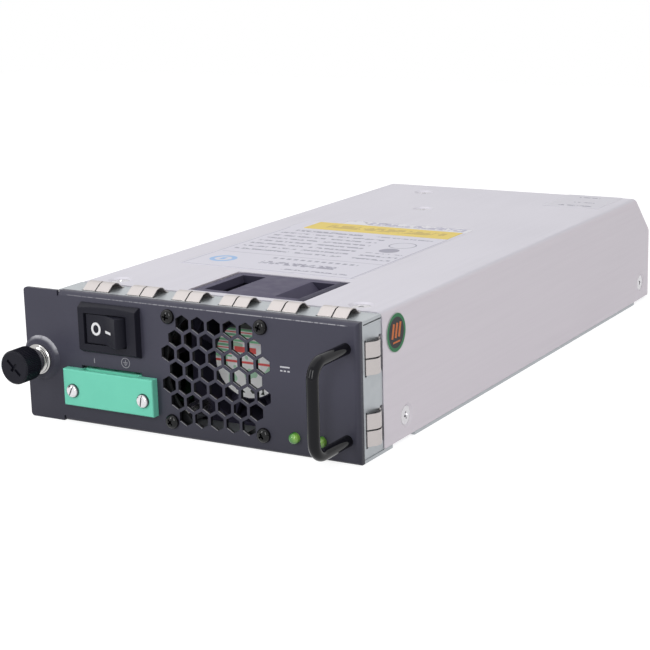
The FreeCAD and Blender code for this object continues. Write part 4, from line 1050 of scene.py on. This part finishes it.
# %% Spring
TURNS, TURN_STEPS, MEAN_RADIUS, WIRE = 3, 24, 2.75, 0.25
SEAT_GAP = 0.08 * MM
low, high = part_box("thumb_spring")
room = high.y - low.y - SEAT_GAP
spring = started(bpy.ops.mesh.primitive_circle_add, vertices=12, radius=WIRE * MM, rotation=FRONTWARD)
pick_all()
bpy.ops.transform.translate(value=(MEAN_RADIUS * MM, 0, WIRE * MM))
finished(spring, "SCREW", angle=2 * math.pi * TURNS, screw_offset=room - 2 * WIRE * MM,
         steps=TURN_STEPS * TURNS, render_steps=TURN_STEPS * TURNS, use_merge_vertices=False)
bpy.ops.object.mode_set(mode="EDIT")
pick_all()
bpy.ops.mesh.fill_holes(sides=0)
bpy.ops.mesh.normals_make_consistent(inside=False)
finished(spring)
turn_to(spring, Vector((spot(THUMB_X, 0, 0).x, high.y - SEAT_GAP, spot(0, 0, THUMB_Z).z)), FRONTWARD)
settle(spring, "spring_coil", "spring_steel", "thumb_carrier", "thumb_spring")
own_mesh(spring)

# %% [markdown]
# Labels
#
# A label is a thin film with rounded corners. Its print could be a picture; here it is part of the finish, as
# ink is: rows of broken grey bars, a ring, a disc and fields, each placed in millimetres. The yellow strip
# lies over the label's rear edge, and a torn strip of paper is left behind it.

# %% Label finishes
INK = (0.17, 0.16, 0.24)
LABEL_ROWS = (  # width, depth, first row, step and thickness of each block
    ((-40, -13), (111, 115), 113, 9, 2.4), ((-8, 14), (111, 115), 113, 9, 1.2),
    ((-43, -22), (75, 110), 78, 5, 1.7), ((-20, -2), (75, 110), 78, 5, 1.7), ((2, 16), (75, 88), 78, 5, 1.7),
    ((-22, 6), (58, 64), 61, 9, 4), ((-10, 14), (53, 55), 54, 9, 1.4))
LABEL_RULES = (((-44, 17), (71.8, 72.1)), ((-45.5, -45.2), (50, 118)), ((17.2, 17.5), (50, 118)),
               ((-45, 17), (50.2, 50.5)))
TAG_BARS = (((24.8, 38.2), (195.6, 197.2)), ((26.5, 34.8), (213.4, 214.6)), ((28.4, 36.6), (203, 204)))
FLAT_ON_TOP = (1, 1, 0)


def broken_bars(material, fine=700):
    """Short broken bars in a row."""
    return graded(material, cloud(material, fine, (1, 0.6, 1), 2), 0.43, 0.49)


def field(material, x, y):
    """A rectangle of the label."""
    across, along, _ = millimetres(material)
    return times(material, between(material, across, *x), between(material, along, *y))


def bar_rows(material, x, y, first, step, thick):
    """Rows of broken bars in a rectangle."""
    along = millimetres(material)[1]
    return times(material, field(material, x, y), stripes(material, along, first, step, thick),
                 broken_bars(material))


def label_film():
    """The pale cover label."""
    film = finish("cover label film", (0.6, 0.59, 0.67), 0.42, gloss=0.3)
    across = millimetres(film)[0]
    rows = most(film, *[bar_rows(film, *block) for block in LABEL_ROWS])
    dashes = times(film, field(film, (-22, 10), (67.2, 68.9)), stripes(film, across, 0, 2.6, 1.5))
    rules = most(film, *[field(film, *rule) for rule in LABEL_RULES])
    oval = between(film, reach(film, (8.1, 102.3, 0), FLAT_ON_TOP), 4.3, 4.8)
    disc = graded(film, reach(film, (7.9, 93, 0), FLAT_ON_TOP), 3.6, 3.3)
    ring = most(film, between(film, reach(film, (-36.5, 61, 0), FLAT_ON_TOP), 2.9, 4.6),
                field(film, (-37.4, -35.6), (59.5, 62.5)))
    ink = times(film, most(film, rows, dashes, rules, oval, disc), 0.72)
    tone = blend(film, ink, (0.71, 0.695, 0.78), INK)
    tint(film, times(film, ring, 0.8), tone, (0.20, 0.45, 0.80))
    return film


def strip_film():
    """The yellow strip, with one row of brown bars."""
    film = finish("yellow strip film", (0.76, 0.57, 0.10), 0.4, gloss=0.3)
    row = times(film, field(film, (-33, 13), (121.5, 127)), broken_bars(film, 420), 0.45)
    tint(film, row, (0.80, 0.60, 0.075), (0.33, 0.20, 0.04))
    return film


def scrap_paper():
    """White paper with one faint row of bars."""
    paper = finish("torn paper", (0.75, 0.73, 0.78), 0.7, gloss=0.2)
    row = times(paper, field(paper, (-22, 16), (132, 137)), broken_bars(paper, 500), 0.5)
    tint(paper, row, (0.84, 0.83, 0.87), (0.30, 0.28, 0.45))
    return paper


def tag_film():
    """A small pale tag with a dark bar and two short rows."""
    film = finish("small tag film", (0.68, 0.67, 0.72), 0.4, gloss=0.3)
    bars = most(film, *[field(film, *bar) for bar in TAG_BARS])
    ink = times(film, bars, broken_bars(film), 0.8)
    tint(film, ink, (0.67, 0.655, 0.72), INK)
    return film


# %% Label sheets
FILM_THICK = 0.06


def sheet(name, x, y, z, look, corner=0.8):
    """A thin film on the cover with rounded corners."""
    size = (x[1] - x[0], y[1] - y[0], FILM_THICK)
    piece = started(bpy.ops.mesh.primitive_cube_add, size=1, scale=[v * MM for v in size],
                    location=spot((x[0] + x[1]) / 2, (y[0] + y[1]) / 2, z + FILM_THICK / 2))
    pick(lambda edge: abs(edge.verts[0].co.z - edge.verts[1].co.z) > FILM_THICK * MM / 2, "EDGE")
    bpy.ops.mesh.bevel(offset=corner * MM, segments=4, affect="EDGES")
    settle(piece, name, "label_white", "chassis", look=look)


sheet("cover_label", (-46, 18), (49.5, 131), ROOF, label_film())
sheet("yellow_strip", (-40, 17), (118, 130.4), ROOF + FILM_THICK, strip_film(), corner=0.4)
sheet("rear_tag", (20, 42), (192.5, 219), ROOF, tag_film())

# %% Torn paper
SCRAP_SIZE, SCRAP_THICK = (49, 6, 1), 0.05
SCRAP_MIDDLE = spot(-6.5, 134, ROOF + 0.03)
TEAR = 1.4 * MM
scrap = started(bpy.ops.mesh.primitive_grid_add, x_subdivisions=30, y_subdivisions=3, size=MM,
                location=SCRAP_MIDDLE)
pick_all()
bpy.ops.transform.resize(value=SCRAP_SIZE, center_override=SCRAP_MIDDLE)
pick(lambda corner: corner.co.y > SCRAP_MIDDLE.y, "VERT")
bpy.ops.transform.vertex_random(offset=TEAR, uniform=1, normal=0, seed=3)
pick_all()
bpy.ops.transform.resize(value=(1, 1, 0), center_override=SCRAP_MIDDLE)
finished(scrap, "SOLIDIFY", thickness=SCRAP_THICK * MM, offset=0)
settle(scrap, "paper_scrap", "label_white", "chassis", look=scrap_paper())

# %% [markdown]
# Signs and sticker
#
# The panel is screen printed with white signs: an earth sign, a switch mark and the sign for direct current.
# The rocker has a ring and a bar moulded in white. Text objects would need a font, so each sign is drawn flat
# from bars and rings, then thickened by the film of ink. The round sticker on the side is a disc with a green
# rim, and its motif is three plain slanted bars over a short one.

# %% Signs
INK_THICK, RING_SIDES = 0.03 * MM, 40
ROCKER_BAR_FACING = Euler((math.pi / 2, 0, math.radians(-28)))
EARTH_BARS = ((0, 0.55, 0.2, 0.8, 0), (0, 0.1, 1.7, 0.2, 0), (0, -0.35, 1.1, 0.2, 0), (0, -0.8, 0.5, 0.2, 0))
EARTH_RING = (0, 0, 1.6, 1.6, 0.2)
DIRECT_BARS = ((0, 0.58, 3.2, 0.42, 0), *((x, -0.58, 0.75, 0.42, 0) for x in (-1.2, 0, 1.2)))


def ink_film(name, colour):
    """Printing ink with a faint unevenness."""
    ink = finish(name, colour, 0.5, gloss=0.3)
    tint(ink, cloud(ink, 1500), [c * 0.9 for c in colour], colour)
    return ink


WHITE_INK = ink_film("white ink", (0.62, 0.62, 0.66))
# A dimmer white ink for the earth sign and the switch mark beside the bezel.
DIM_WHITE_INK = ink_film("dimmer white ink", (0.36, 0.36, 0.39))
ROCKER_WHITE = ink_film("rocker white", (0.92, 0.92, 0.94))
ORANGE_INK = ink_film("orange ink", (0.86, 0.23, 0.06))


def sign(name, place, facing, bars=(), rings=(), body="chassis", look=WHITE_INK):
    """A flat sign: bars as middle, size and turn, rings as middle, half sizes and stroke, in millimetres."""
    piece = blank()
    for x, y, wide, high, turn in bars:
        bpy.ops.mesh.primitive_plane_add(size=MM)
        widen(wide, high)
        bpy.ops.transform.rotate(value=-turn, orient_axis="Z", center_override=(0, 0, 0))
        bpy.ops.transform.translate(value=(x * MM, y * MM, 0))
    for x, y, half_wide, half_high, stroke in rings:
        bpy.ops.mesh.primitive_circle_add(vertices=RING_SIDES, radius=MM, fill_type="NGON")
        widen(half_wide, half_high)
        bpy.ops.transform.translate(value=(x * MM, y * MM, 0))
        bpy.ops.mesh.select_mode(type="FACE")
        bpy.ops.mesh.inset(thickness=stroke * MM)
        bpy.ops.mesh.delete(type="FACE")
    finished(piece, "SOLIDIFY", thickness=INK_THICK, offset=1)
    turn_to(piece, place, facing)
    settle(piece, name, "label_white", body, look=look)


sign("earth_sign", spot(-32.3, 0, 21.1), FRONTWARD, EARTH_BARS, [EARTH_RING], look=DIM_WHITE_INK)
sign("on_sign", spot(-44, 0, 20.5), FRONTWARD, [(0, 0, 0.3, 1.45, 0)], look=DIM_WHITE_INK)
sign("direct_current_sign", spot(23.75, 0, 25.55), FRONTWARD, DIRECT_BARS)
sign("rocker_ring", spot(-41.5, -1.58, 31), FRONTWARD, rings=[(0, 0, 1.75, 2.03, 0.75)], body="rocker",
     look=ROCKER_WHITE)
sign("rocker_bar", spot(-36.35, -2.55, 30.5), ROCKER_BAR_FACING, [(0, 0, 3.5, 0.8, 0)], body="rocker",
     look=ROCKER_WHITE)

# %% Sticker
STICKER = (47.7, 22.3, 33.65)
STICKER_SIDES, STICKER_RADIUS = 64, 5.75
STICKER_DARK = (0.02, 0.022, 0.026)
SLANT = -0.25
STROKES = (*((x, 0.6, 1.1, 4.4, SLANT) for x in (-2, 0, 2)), (0, -2.8, 4.2, 0.5, 0))


def sticker_film():
    """A green rim, a thin pale edge and a dark middle."""
    film = finish("round sticker film", STICKER_DARK, 0.35, gloss=0.15)
    out = reach(film, STICKER, (0, 1, 1))
    green = blend(film, cloud(film, 300), (0.018, 0.20, 0.07), (0.03, 0.26, 0.10))
    tone = blend(film, graded(film, out, 4.5, 4.65), STICKER_DARK, green)
    tint(film, graded(film, out, 5.55, 5.65), tone, (0.5, 0.6, 0.52))
    return film


disc = cylinder(STICKER_SIDES, STICKER_RADIUS, 0, FILM_THICK)
finished(disc)
turn_to(disc, spot(*STICKER), RIGHTWARD)
settle(disc, "round_sticker", "label_white", "chassis", look=sticker_film())
sign("sticker_strokes", spot(STICKER[0] + FILM_THICK, *STICKER[1:]), SIDEWARD, STROKES, look=ORANGE_INK)
